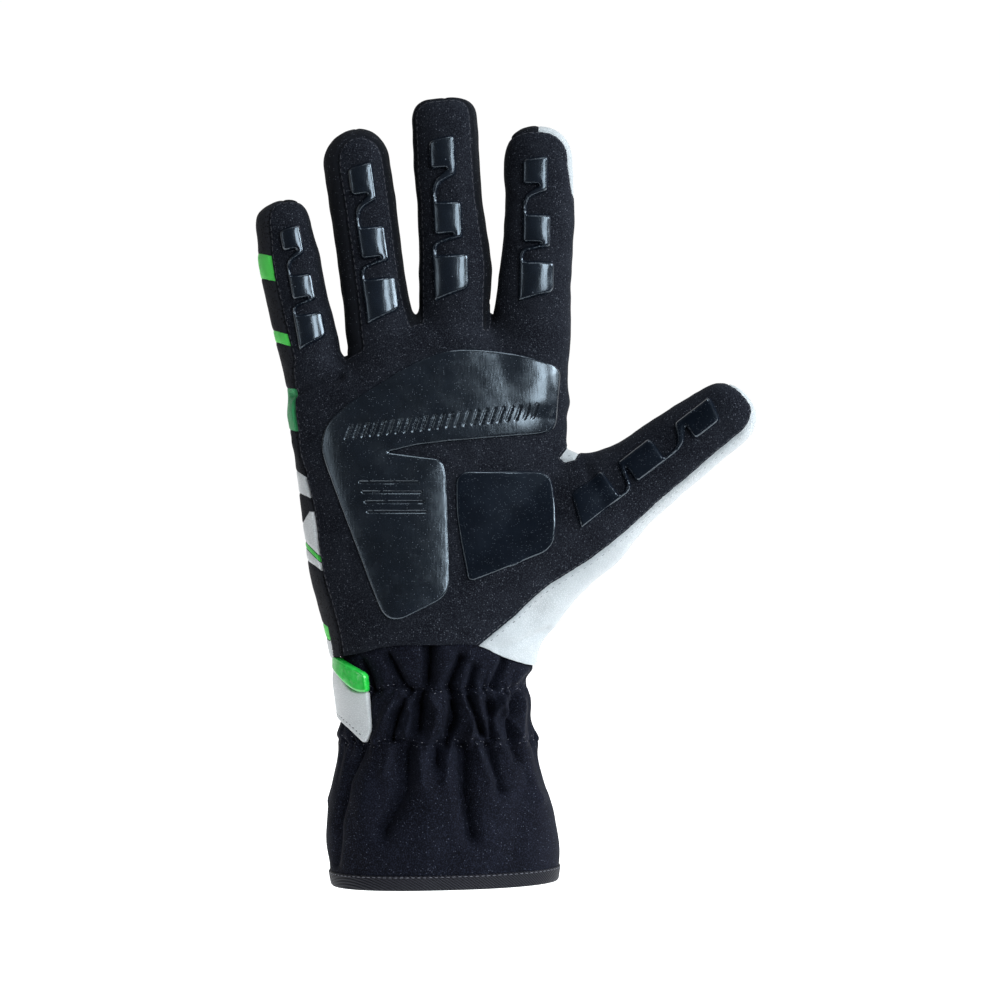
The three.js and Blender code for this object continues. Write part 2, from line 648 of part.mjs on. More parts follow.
// The palm panel's part on one finger, from inside the palm round the tip and back
function fingerRegion(finger) {
  const points = [];
  const steps = 3;
  const from = finger.panelFrom;
  const side = (column, sign, inset, at) =>
    sign * (valueAt(finger.rows, "at", column, at) - inset) * finger.width;
  for (let k = 0; k <= steps; k++) {
    const at = from + ((finger.capStart - from) * k) / steps;
    points.push(onFinger(finger, at * finger.length, side("left", -1, finger.insetLeft, at)));
  }
  const capLength = (1 - finger.capStart) * finger.length - finger.insetTip * finger.width;
  for (let k = 1; k < CAP_STEPS; k++) {
    const turn = (Math.PI * k) / CAP_STEPS;
    const rise = Math.pow(Math.sin(turn), 2 / finger.capPower) * capLength;
    const c = Math.cos(turn);
    const column = c > 0 ? "left" : "right";
    const inset = c > 0 ? finger.insetLeft : finger.insetRight;
    const half = Math.abs(side(column, 1, inset, finger.capStart));
    const across = -Math.sign(c) * Math.pow(Math.abs(c), 2 / finger.capPower) * half;
    points.push(onFinger(finger, finger.capStart * finger.length + rise, across));
  }
  for (let k = steps; k >= 0; k--) {
    const at = from + ((finger.capStart - from) * k) / steps;
    points.push(onFinger(finger, at * finger.length, side("right", 1, finger.insetRight, at)));
  }
  return points;
}

const seamPoints = WRIST_SEAM.map(
  ({ x, rise }) => new THREE.Vector2(x * PALM_WIDTH, heightOf(rise)),
);

// The palm panel's part on the palm: up the outer side, past the crotches, along the thumb
function handRegion() {
  const outer = HAND_ROWS.filter((row) => row.up > -0.1 && row.up < 0.95).map(
    (row) => new THREE.Vector2((row.inset - row.left) * PALM_WIDTH, heightOf(row.up)),
  );
  outer[0].y = heightOf(-0.08);
  const crotches = PALM_CROTCHES.map(({ x, up }) => new THREE.Vector2(x * PALM_WIDTH, heightOf(up)));
  const heel = new THREE.Vector2(0.146 * PALM_WIDTH, heightOf(0.02));
  const thumbSide = THUMB_SEAM.map(({ along, aside }) =>
    onFinger(FINGERS.thumb, along * FINGERS.thumb.length, aside * FINGERS.thumb.width),
  );
  const low = new THREE.Vector2(heel.x, heightOf(-0.08));
  return [...outer, ...crotches, ...thumbSide, heel, low];
}

// Everything the palm panel covers, moved out by grow
function palmPrism(grow) {
  const regions = [handRegion(), ...Object.values(FINGERS).slice(0, 4).map(fingerRegion)];
  const thumb = fingerRegion(FINGERS.thumb);
  return joined([...regions, thumb].map((points) => prism(grown(points, grow))));
}

// A finger's own block of space, above the line through the crotches and between its neighbours
function fingerBlock(order, grow) {
  const names = ["little", "ring", "middle", "index"];
  const above = 1.3;
  const topOf = (name) => onFinger(FINGERS[name], above * FINGERS[name].length, 0);
  const crotch = (k) => new THREE.Vector2(PALM_CROTCHES[k].x * PALM_WIDTH, heightOf(PALM_CROTCHES[k].up));
  const sideOf = (k) => {
    if (k < 0) {
      const x = -PALM_WIDTH;
      return [new THREE.Vector2(x, heightOf(OUTER_ROOT)), new THREE.Vector2(x, topOf("little").y)];
    }
    if (k === names.length - 1) {
      const x = PALM_WIDTH;
      return [new THREE.Vector2(x, heightOf(INDEX_ROOT)), new THREE.Vector2(x, topOf("index").y)];
    }
    return [crotch(k), topOf(names[k]).lerp(topOf(names[k + 1]), 0.5)];
  };
  const [left, right] = [sideOf(order - 1), sideOf(order)];
  return prism(grown([left[0], right[0], right[1], left[1]], grow));
}

// The thumb's own block, beyond its root
function thumbBlock(grow) {
  const thumb = FINGERS.thumb;
  const corner = (along, aside) => onFinger(thumb, along * thumb.length, aside * thumb.width);
  const [root, end] = [THUMB_ROOT, 1.4];
  return prism(grown([corner(root, -0.75), corner(root, 0.75), corner(end, 0.75), corner(end, -0.75)], grow));
}

// The gap between two fingers, as a region from one finger's axis to the next one's
function betweenFingers(a, b, grow) {
  const above = 1.3;
  const low = -0.12;
  return prism(
    grown(
      [
        onFinger(a, low * a.length, 0),
        onFinger(b, low * b.length, 0),
        onFinger(b, above * b.length, 0),
        onFinger(a, above * a.length, 0),
      ],
      grow,
    ),
  );
}

// The gauntlet's smooth section at a height, moved out by grow, then pressed in by the folds
function foldAt(x, down, front) {
  let depth = 0;
  for (const fold of FOLD_ROWS) {
    const [ax, ay] = [fold.x0 * CUFF_WIDTH, fold.down0 * CUFF_LENGTH];
    const [bx, by] = [fold.x1 * CUFF_WIDTH, fold.down1 * CUFF_LENGTH];
    const px = front ? x : -x;
    const py = down * CUFF_LENGTH;
    const run = (bx - ax) ** 2 + (by - ay) ** 2;
    const t = clamp01(((px - ax) * (bx - ax) + (py - ay) * (by - ay)) / run);
    const away = Math.hypot(px - ax - t * (bx - ax), py - ay - t * (by - ay));
    const wide = fold.wide * CUFF_WIDTH;
    depth = Math.max(depth, fold.deep * Math.exp(-((away / wide) ** 2)));
  }
  const fade = clamp01(down / 0.08) * clamp01((1 - down) / 0.15);
  return FOLD_DEPTH * depth * fade;
}

function cuffRing(down, grow, folded = true) {
  const row = (column) => valueAt(CUFF_ROWS, "down", column, down);
  const ring = [];
  for (let k = 0; k < CUFF_SIDES; k++) {
    const turn = (2 * Math.PI * k) / CUFF_SIDES;
    const [c, s] = [Math.cos(turn), Math.sin(turn)];
    const across = Math.sign(c) * Math.pow(Math.abs(c), 2 / HAND_POWER);
    const deep = Math.sign(s) * Math.pow(Math.abs(s), 2 / HAND_POWER);
    const half = row(c < 0 ? "left" : "right") * CUFF_WIDTH + grow;
    const thick = (row("deep") * CUFF_DEPTH) / 2 + grow;
    const x = across * half;
    const press = folded ? foldAt(x, down, s < 0) : 0;
    const facing = Math.abs(s);
    ring.push(
      new THREE.Vector3(
        x - Math.sign(c) * press * (1 - facing) * 0.5,
        deep * thick - Math.sign(s) * press * facing,
        cuffHeightOf(down) + row("slope") * x,
      ),
    );
  }
  return ring;
}

function cuffSolid() {
  const bottom = 1 - (BINDING_HEIGHT + SEAM_GAP) / CUFF_LENGTH;
  const outer = [];
  const inner = [];
  for (let k = 0; k < CUFF_RINGS; k++) {
    const down = bottom + ((CUFF_ROWS[0].down - bottom) * k) / (CUFF_RINGS - 1);
    outer.push(cuffRing(down, 0));
    inner.push(cuffRing(down, -FABRIC_WALL));
  }
  const below = [...seamPoints.map((p) => new THREE.Vector2(p.x, p.y - SEAM_GAP))];
  const [left, right] = [below[0], below.at(-1)];
  return solidOf(tube(outer, inner)).intersect(
    prism([
      new THREE.Vector2(-FAR, left.y),
      ...below,
      new THREE.Vector2(FAR, right.y),
      new THREE.Vector2(FAR, -FAR),
      new THREE.Vector2(-FAR, -FAR),
    ]),
  );
}

function bindingGeometry() {
  const rise = BINDING_HEIGHT / CUFF_LENGTH;
  const rows = [
    { share: 1, out: -0.2 },
    { share: 0.75, out: BINDING_RISE },
    { share: 0, out: BINDING_RISE * 0.6 },
  ];
  const outer = rows.map(({ share, out }) => cuffRing(1 - rise * (1 - share), out, false));
  const inner = rows.map(({ share, out }) =>
    cuffRing(1 - rise * (1 - share), -FABRIC_WALL - out, false),
  );
  return tube(outer, inner);
}

// The smooth layer that the wrist panel and its tab are cut from
function sleeveSolid(from, to) {
  const layer = (grow) => {
    const rings = [];
    for (let k = 0; k < SLEEVE_RINGS; k++) {
      const share = k / (SLEEVE_RINGS - 1);
      rings.push(cuffRing(SLEEVE_BOTTOM + (SLEEVE_TOP - SLEEVE_BOTTOM) * share, grow, false));
    }
    return rings;
  };
  return solidOf(tube(layer(to), layer(from)));
}

const cuffCorners = (rows) =>
  rounded(
    rows.map(({ x, down, round }) => ({
      at: new THREE.Vector2(x * CUFF_WIDTH, cuffHeightOf(down)),
      round: round * CUFF_WIDTH,
    })),
  );

const palmCorners = (rows) =>
  rounded(
    rows.map(({ x, up, round }) => ({
      at: new THREE.Vector2(x * PALM_WIDTH, heightOf(up)),
      round: round * PALM_WIDTH,
    })),
  );

// The chain of cells on a finger: down one side, then back up the other
function gripOutline(finger, grip) {
  const length = (grip.tip - grip.base) * finger.length;
  const wide = grip.width * finger.width;
  const place = (share, across) =>
    onFinger(
      finger,
      grip.tip * finger.length - share * length,
      (grip.centre + share * grip.drift + grip.turn * across * grip.width) * finger.width,
    );
  const down = [];
  const up = [];
  GRIP_CELLS.forEach((cell, k) => {
    const [l, r] = [cell.shift - cell.half, cell.shift + cell.half];
    const next = GRIP_CELLS[k + 1];
    if (next) {
      const gap = next.from - cell.to;
      const nextLeft = next.shift - next.half;
      down.push({ at: place(cell.from, r), round: 0.14 * wide });
      down.push({ at: place(cell.to + gap * 0.25, r), round: 0.105 * wide });
      down.push({ at: place(next.from - gap * 0.3, nextLeft + GRIP_NECK), round: 0.088 * wide });
      down.push({ at: place(next.from, nextLeft + GRIP_NECK + 0.05), round: 0.035 * wide });
      up.unshift({ at: place(cell.to, l), round: 0.14 * wide });
      up.unshift({ at: place(cell.to - gap * 0.1, r - GRIP_NECK * 1.5), round: 0.053 * wide });
      up.unshift({ at: place(cell.to + gap * 0.4, nextLeft), round: 0.123 * wide });
    } else {
      down.push({ at: place(cell.from, r), round: 0.14 * wide });
      down.push({ at: place(cell.to - 0.07, r), round: 0.211 * wide });
      up.unshift({ at: place(cell.to, l), round: 0.088 * wide });
    }
  });
  const first = GRIP_CELLS[0];
  return rounded([...down, ...up, { at: place(0, first.shift - first.half), round: 0.14 * wide }]);
}

// Assembling the glove
const glove = new THREE.Group();
glove.name = "glove";

function addPiece(name, slot, solid) {
  const material = new THREE.MeshStandardMaterial({ name: slot, ...FINISHES[slot] });
  const mesh = new THREE.Mesh(geometryFromSolid(solid), material);
  mesh.name = name;
  glove.add(mesh);
}

// A panel and its parts on the fingers, each parted from it across the finger's root
const BLOCKS = {
  little: (grow) => fingerBlock(0, grow),
  ring: (grow) => fingerBlock(1, grow),
  middle: (grow) => fingerBlock(2, grow),
  index: (grow) => fingerBlock(3, grow),
  thumb: thumbBlock,
};
function addPanel(name, slot, solid, parts) {
  let hand = solid;
  for (const [part, finger] of parts) {
    addPiece(part, slot, mainBody(solid.intersect(BLOCKS[finger](-SEAM_GAP / 2))));
    hand = hand.subtract(BLOCKS[finger](SEAM_GAP / 2));
  }
  addPiece(name, slot, mainBody(hand));
}

const outside = gloveSolid(0);
const inside = gloveSolid(-FABRIC_WALL);
const aboveSeam = prism([
  new THREE.Vector2(-FAR, seamPoints[0].y),
  ...seamPoints,
  new THREE.Vector2(FAR, seamPoints.at(-1).y),
  new THREE.Vector2(FAR, FAR),
  new THREE.Vector2(-FAR, FAR),
]);
const shell = outside.subtract(inside).intersect(aboveSeam);

const palmSide = palmPrism(0).intersect(inFrontOf(PALM_WRAP));
const palmSideGrown = palmPrism(SEAM_GAP).intersect(inFrontOf(PALM_WRAP + SEAM_GAP));
addPanel("palm_panel", "black_suede", shell.intersect(palmSide), [
  ["palm_little", "little"],
  ["palm_ring", "ring"],
  ["palm_middle", "middle"],
  ["palm_index", "index"],
  ["palm_thumb", "thumb"],
]);
let rest = shell.subtract(palmSideGrown);

const FOURCHETTES = [
  ["fourchette_little_ring", FINGERS.little, FINGERS.ring],
  ["fourchette_ring_middle", FINGERS.ring, FINGERS.middle],
  ["fourchette_middle_index", FINGERS.middle, FINGERS.index],
];
const fourchetteFront = inFrontOf(FOURCHETTE_WRAP);
const fourchetteFrontGrown = inFrontOf(FOURCHETTE_WRAP + SEAM_GAP);
const strips = rest.intersect(fourchetteFront);
for (const [name, a, b] of FOURCHETTES) {
  addPiece(name, "fourchette_fabric", mainBody(strips.intersect(betweenFingers(a, b, -SEAM_GAP / 2))));
  rest = rest.subtract(betweenFingers(a, b, SEAM_GAP / 2).intersect(fourchetteFrontGrown));
}

const whiteEdge = WHITE_BACK_EDGE.map(
  ({ x, up }) => new THREE.Vector2(x * PALM_WIDTH, heightOf(up)),
);
const whiteRegion = (grow) =>
  prism([
    ...whiteEdge.map((p) => new THREE.Vector2(p.x - grow, p.y)),
    new THREE.Vector2(FAR, whiteEdge.at(-1).y),
    new THREE.Vector2(FAR, whiteEdge[0].y),
  ]);
addPanel("back_panel_thumb_side", "white_leather", rest.intersect(whiteRegion(0)), [
  ["back_index", "index"],
  ["back_thumb", "thumb"],
]);
let back = rest.subtract(whiteRegion(SEAM_GAP));

for (const panel of SIDE_PANELS) {
  const inner = panel.reach * PALM_WIDTH;
  const outer = -PALM_WIDTH;
  const slope = panel.fall / 0.1;
  const lineAt = (share, x) => heightOf(share - (slope * (x / PALM_WIDTH + 0.5)) / 1);
  const region = (gap) =>
    prism([
      new THREE.Vector2(outer, lineAt(panel.bottom, outer) - gap),
      new THREE.Vector2(inner + gap, lineAt(panel.bottom, inner) - gap),
      new THREE.Vector2(inner + gap, lineAt(panel.top, inner) + gap),
      new THREE.Vector2(outer, lineAt(panel.top, outer) + gap),
    ]);
  addPiece(panel.name, panel.slot, mainBody(back.intersect(region(0))));
  back = back.subtract(region(SEAM_GAP));
}
addPanel("back_panel", "black_fabric", back, [
  ["back_little", "little"],
  ["back_ring", "ring"],
  ["back_middle", "middle"],
]);

addPiece("cuff", "cuff_fabric", mainBody(cuffSolid()));
addPiece("cuff_binding", "binding_tape", solidOf(bindingGeometry()));

const patchOut = SEAM_GAP + PATCH_THICKNESS;
const wristPanel = sleeveSolid(SEAM_GAP, patchOut).intersect(prism(cuffCorners(WRIST_PANEL)));
addPiece("wrist_panel", "white_leather", mainBody(wristPanel));
const wristTab = sleeveSolid(patchOut + SEAM_GAP, patchOut + SEAM_GAP + TAB_THICKNESS);
addPiece(
  "wrist_tab",
  "green_rubber",
  mainBody(wristTab.intersect(prism(cuffCorners(WRIST_TAB), -FAR, 0))),
);

const gripLayer = gloveSolid(SEAM_GAP + GRIP_THICKNESS)
  .subtract(gloveSolid(SEAM_GAP))
  .intersect(inFrontOf(0));
addPiece("palm_grip", "silicone", mainBody(gripLayer.intersect(prism(palmCorners(PALM_GRIP)))));
addPiece("heel_grip", "silicone", mainBody(gripLayer.intersect(prism(palmCorners(HEEL_GRIP)))));
for (const [name, grip] of Object.entries(FINGER_GRIPS)) {
  const cells = prism(gripOutline(FINGERS[name], grip));
  addPiece(name + "_grip", "silicone", mainBody(gripLayer.intersect(cells)));
}
export default glove;
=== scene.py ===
"""A right-hand karting glove, filled out as on a hand, seen from its palm.

The hand is one smooth surface of blended shapes. It is cut along its sewn lines into panels, and
the silicone grips, the stitches and the gathered gauntlet are built on it. Lengths are in mm.
"""

import math

import bpy
import numpy as np
from mathutils.kdtree import KDTree
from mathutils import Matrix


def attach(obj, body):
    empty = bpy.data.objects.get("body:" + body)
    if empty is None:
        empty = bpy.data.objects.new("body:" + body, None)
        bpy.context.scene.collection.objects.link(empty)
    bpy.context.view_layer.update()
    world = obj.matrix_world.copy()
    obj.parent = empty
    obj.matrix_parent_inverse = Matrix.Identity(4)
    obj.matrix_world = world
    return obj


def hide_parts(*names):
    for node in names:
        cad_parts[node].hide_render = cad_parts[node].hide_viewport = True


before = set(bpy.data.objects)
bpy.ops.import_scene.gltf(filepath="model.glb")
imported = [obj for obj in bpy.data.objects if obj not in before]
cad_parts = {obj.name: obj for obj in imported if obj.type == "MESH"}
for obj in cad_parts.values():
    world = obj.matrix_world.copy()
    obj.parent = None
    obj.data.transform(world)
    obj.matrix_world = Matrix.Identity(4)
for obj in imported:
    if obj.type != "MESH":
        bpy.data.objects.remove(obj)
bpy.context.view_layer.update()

MM = 0.001

# Sizes of the glove
PALM_WIDTH = 99
PALM_LENGTH = 112
HAND_DEPTH = 34
WRIST_SEAM_HEIGHT = 17.5
CUFF_LENGTH = 81
CUFF_WIDTH = 81.5
CUFF_DEPTH = 54
BINDING_HEIGHT = 5.2
FINGER_CURL = 7
THUMB_FORWARD = 11
CLOTH = 1.3
# How far behind the middle of the glove the palm panel and the strips between fingers reach
PALM_WRAP = 1.2
FOURCHETTE_WRAP = 4.5
# How square the sections of the fingers and the hand are: 2 is an ellipse
FINGER_POWER = 2.25
HAND_POWER = 2.35
HAND_CAP_POWER = 2.2
# Length of the round end that a finger has inside the hand
ROOT_CAP = 8
# How softly the fingers and the thumb run into the hand
FINGER_BLEND = 3.6
THUMB_BLEND = 8
# The grid that the hand's surface is found on
GRID_LOW = (-66.0, -36.0, 1.0)
GRID_HIGH = (118.0, 30.0, 214.0)
STEP = 0.9
# The field's value far away, and limits for moving points to the surface
LARGE = 9.0
LONGEST_STEP = 0.8
LEAST_SLOPE = 0.05
# Relief of the cloth over the hand: height, length of the waves, seed
HAND_WAVES = [(0.22, 9, 1.7), (0.12, 4.3, 0.6)]
# Seams: depth and width of the groove along the palm and elsewhere, and height, distance and
# width of the cloth's roll beside the palm's seam
PALM_GROOVE = (0.7, 0.6)
OTHER_GROOVE = (0.22, 0.5)
PALM_ROLL = (0.18, 1.7, 0.9)
PALM_EDGE_CUTS = (0, -0.5, -1.3)
# Grips: height of the foot, rise over the rounded edge, width of that edge, how far they go into
# the cloth and even out its relief, depth of the recesses, width of a glossy rim, and rise of
# the fingers' cells towards their middle
GRIP_FOOT = 0.15
GRIP_HEIGHT = 0.7
GRIP_EDGE = 0.9
GRIP_SUNK = 0.4
EVENED_OUT = 0.75
RECESS_DEPTH = 0.4
RIM_WIDTH = 0.7
CROWN_HEIGHT = 0.9
GRIP_CUTS = (0, -0.12, -0.35, -0.8)
RECESS_CUTS = (0.1, -0.35)

# Fingers. root is the place of the finger's root, lean its angle, inset how far the palm panel
# stands back at the left, the right and the tip. Rows: share of the length, half widths to the
# left and right as shares of the width, share of the depth.
FINGERS = {
    "little": {
        "length": 53, "width": 21, "depth": 17.5, "root": (-44.05, 122.5), "lean": -10.3,
        "cap_start": 0.8, "cap_power": 2.5, "inset": (4.9, -1.5, 0.7), "panel_from": -0.2,
        "rows": [
            (-0.45, 0.46, 0.44, 1.1), (0, 0.54, 0.49, 1.1), (0.3, 0.585, 0.44, 1.03),
            (0.6, 0.6, 0.42, 1), (0.8, 0.545, 0.38, 0.94),
        ],
    },
    "ring": {
        "length": 72, "width": 22.5, "depth": 19.5, "root": (-18.9, 127.7), "lean": -7.3,
        "cap_start": 0.82, "cap_power": 2.1, "inset": (5.2, 1.8, 3.2), "panel_from": -0.2,
        "rows": [
            (-0.3, 0.53, 0.5, 1.08), (0, 0.57, 0.54, 1.08), (0.2, 0.555, 0.47, 1.04),
            (0.55, 0.56, 0.462, 1), (0.82, 0.575, 0.46, 0.93),
        ],
    },
    "middle": {
        "length": 78.5, "width": 24.5, "depth": 20.5, "root": (6.63, 131.2), "lean": -2.8,
        "cap_start": 0.87, "cap_power": 3.4, "inset": (0.9, 1.9, 0.8), "panel_from": -0.2,
        "rows": [
            (-0.3, 0.5, 0.48, 1.08), (0, 0.53, 0.49, 1.08), (0.27, 0.485, 0.55, 1.03),
            (0.5, 0.465, 0.475, 1), (0.7, 0.485, 0.45, 0.97), (0.87, 0.478, 0.452, 0.9),
        ],
    },
    "index": {
        "length": 72.5, "width": 24, "depth": 20.5, "root": (33.2, 127.7), "lean": 1.8,
        "cap_start": 0.82, "cap_power": 2.3, "inset": (-1.5, -1.5, 2.0), "panel_from": -0.2,
        "cap_right": 1.3,
        "rows": [
            (-0.3, 0.56, 0.52, 1.1), (0, 0.6, 0.57, 1.1), (0.25, 0.52, 0.55, 1.04),
            (0.58, 0.45, 0.562, 1), (0.82, 0.485, 0.505, 0.93),
        ],
    },
    "thumb": {
        "length": 61.5, "width": 27, "depth": 22, "root": (58.1, 69.65), "lean": 55,
        "cap_start": 0.8, "cap_power": 2.2, "inset": (-1.5, 3.4, 0.9), "panel_from": 0.29,
        "rows": [
            (-0.8, 0.3, 0.74, 1.3), (-0.64, 0.36, 0.86, 1.45), (-0.47, 0.42, 0.815, 1.52),
            (-0.29, 0.5, 0.785, 1.52), (-0.11, 0.58, 0.745, 1.42), (0.02, 0.6, 0.65, 1.28),
            (0.12, 0.548, 0.593, 1.18), (0.29, 0.507, 0.533, 1.08), (0.49, 0.496, 0.489, 1.02),
            (0.8, 0.455, 0.42, 0.9),
        ],
    },
}

# The hand without its fingers: share of the palm's length, half widths left and right as shares of
# its width, front and back as shares of its depth, and the palm panel's setback in mm
HAND_ROWS = [
    (-0.2, 0.36, 0.33, 0.67, 0.67, 5),
    (0, 0.382, 0.36, 0.675, 0.675, 5),
    (0.1, 0.408, 0.39, 0.64, 0.62, 5.4),
    (0.25, 0.452, 0.42, 0.57, 0.53, 4.9),
    (0.42, 0.478, 0.445, 0.51, 0.49, 4.8),
    (0.6, 0.503, 0.455, 0.48, 0.48, 2.7),
    (0.78, 0.536, 0.46, 0.44, 0.48, 3.4),
    (0.9, 0.552, 0.462, 0.38, 0.43, 4.5),
]
# Where the hand ends between the fingers: x, height
HAND_TOP = [(-52, 112), (-44, 119), (-31.5, 121.8), (-18, 129), (-7, 133.7), (7, 135),
            (20.3, 131.2), (33, 128), (46, 116)]
# How far down its top is rounded, the x and height that only fingers lie beyond, and how far
# aside of its middle line a finger can reach
HAND_CAP = 14
HAND_ENDS = (70, 150)
FINGER_SIDE = 32
# The palm panel's outline between the fingers and down to the thumb: x, height
CROTCHES = [(-31.5, 119.6), (-7, 131.7), (20.3, 129.3), (51.5, 129.5), (51.5, 92.5),
            (46, 88.3), (43.2, 85), (44.4, 83.8), (48, 84.4), (52.5, 91.4)]
# The palm panel's edge along the thumb: share of the thumb's length, share of its width
THUMB_SEAM = [(0.3, -0.9), (0.5, -0.7), (0.5, 0.34), (0.29, 0.4), (0.1, 0.466), (-0.1, 0.505),
              (-0.27, 0.515), (-0.55, 0.49), (-0.78, 0.55)]
# Where the hand is sewn to the gauntlet: x, height
WRIST_SEAM = [(-44.5, 13.6), (-35.6, 15.3), (-25.7, 17.5), (-16.8, 19.7), (0, 20.3), (14.5, 20),
              (24.2, 15.7), (33.7, 12.5), (44.5, 9.1)]
# The white part of the back begins here: height, x
WHITE_EDGE = [(-16, 9.9), (19.7, 12.9), (51, 21.8), (96, 26.7), (131.7, 19.8), (264, 19.8)]

# Panels let into the outer side: piece, node, slot, top and its fall across the side, bottom and
# its fall, highest top as shares of the palm's length, how far round the back they reach as a
# share of its width, and the black strip left along the palm in mm
SIDE_PANELS = [
    ("patch_finger_high", "finger_patch_upper", "green_fabric",
     1.207, 0.22, 1.132, 0.22, 2, -0.5, 0),
    ("patch_finger_low", "finger_patch_lower", "green_fabric",
     0.976, 0.27, 0.942, 0.27, 2, -0.455, 0),
    ("patch_knuckle", "knuckle_patch", "green_fabric", 0.812, 0.2, 0.683, 0.2, 2, -0.36, 0),
    ("side_white_high", "side_panel_upper", "white_leather", 0.5625, 0.6, 0.4946, 0.35, 2, -0.3, 0),
    ("side_white_middle", "side_panel_middle", "white_leather",
     0.365, -1.28, 0.366, 0.79, 0.432, -0.28, 0),
    ("side_green_line", "side_stripe", "green_fabric", 0.363, 0.79, 0.3485, 0.79, 2, -0.28, 0),
    ("side_white_low", "side_panel_lower", "white_leather", 0.3455, 0.79, 0.305, 0.57, 2, -0.28, 0),
    ("heel_green_line", "heel_stripe", "green_fabric", 0.134, 0.5, 0.094, 0.5, 2, -0.25, 3.4),
    ("heel_white", "heel_panel", "white_leather", 0.091, 0.5, -0.03, 0.5, 2, -0.25, 3.4),
]
# How far in the outer edge of the hand lies: height in mm, share of the palm's width
OUTER_EDGE = [(15, 0.12), (27, 0.1), (55, 0.023), (75, 0.009), (100, -0.02), (128, -0.066),
              (150, -0.118)]
WEBS = [("little", "ring"), ("ring", "middle"), ("middle", "index")]

# Creases on the palm: x and height at both ends, width, height of the relief
CREASES = [
    (-51, 106.5, -34, 112.7, 1.6, -1.8),
    (44.8, 83.3, 30.5, 80.5, 1.8, -0.5),
    (-4, 23.3, 8.5, 24.5, 1.6, -0.5),
    (51.5, 81.5, 57.5, 69, 2.6, -1.3),
    (58, 66, 50, 58, 2.5, -0.4),
    (-49, 90, -44, 86, 3.5, 0.9),
    (-46, 80, -42, 78, 1.4, -0.6),
    (-30, 30, -26, 24, 2, -0.5),
    (40, 40, 33, 30, 3, -0.5),
    (22, 18.2, 38.9, 24.5, 1.5, -1),
]

# Silicone cells along a finger: from, to, half width, shift
GRIP_CELLS = [(0, 0.205, 0.38, -0.07), (0.4, 0.6, 0.42, 0), (0.72, 1, 0.52, 0.02)]
GRIP_NECK = 0.13
# Tip and base as shares of the finger, width in mm, place and drift across, way of the turns
FINGER_GRIPS = {
    "little": (0.82, 0, 9.6, 0.06, 0, 1),
    "ring": (0.83, 0.05, 11.4, 0.03, 0.02, 1),
    "middle": (0.83, 0.1, 11.8, -0.03, -0.01, 1),
    "index": (0.85, 0.15, 11.6, 0, 0.03, 1),
    "thumb": (0.82, -0.2, 11.4, -0.19, 0.1, -1),
}
# Corners of the palm's grips: x and height as shares of the palm, rounding in mm
PALM_GRIP = [(0.434, 0.881, 4), (0.25, 0.93, 20), (0, 0.938, 16), (-0.365, 0.736, 12),
             (-0.414, 0.64, 10), (-0.292, 0.357, 60), (-0.17, 0.079, 8), (0.05, 0.176, 6),
             (0.037, 0.55, 6), (0.02, 0.594, 3), (-0.165, 0.616, 0.6), (-0.05, 0.642, 12),
             (0.39, 0.674, 5), (0.42, 0.7, 5)]
HEEL_GRIP = [(0.4, 0.557, 5), (0.07, 0.557, 5), (0.067, 0.43, 30), (0.112, 0.214, 3),
             (0.412, 0.318, 6), (0.42, 0.43, 20)]

# The gauntlet: share of its length down, half widths, depth, tilt
CUFF_ROWS = [
    (-0.1, 0.43, 0.445, 0.86, 0),
    (0.02, 0.42, 0.434, 0.85, 0),
    (0.13, 0.43, 0.378, 0.81, 0),
    (0.216, 0.42, 0.393, 0.78, 0),
    (0.302, 0.411, 0.395, 0.77, 0),
    (0.389, 0.417, 0.42, 0.8, 0),
    (0.475, 0.43, 0.434, 0.85, 0.004),
    (0.562, 0.451, 0.459, 0.91, 0.01),
    (0.648, 0.464, 0.485, 0.95, 0.015),
    (0.735, 0.476, 0.507, 0.98, 0.02),
    (0.821, 0.473, 0.523, 1, 0.022),
    (0.907, 0.464, 0.524, 1, 0.022),
    (1, 0.447, 0.516, 1, 0.022),
]
ELASTICS = (4.9, -13.3)
ELASTIC_DEPTH = 1.1
ELASTIC_WIDTH = 0.9
RIPPLE_DEPTH = 0.55
RIPPLE_WIDTH = 3.6
PUFF_HEIGHT = 1.1
SIDE_CALM = 0.45
# How strongly the folds below are drawn: valleys, ridges, and their width
VALLEY_STRENGTH = 2.3
RIDGE_STRENGTH = 1.7
FOLD_WIDTH = 0.9
CUFF_AROUND = 460
CUFF_DOWN = 104
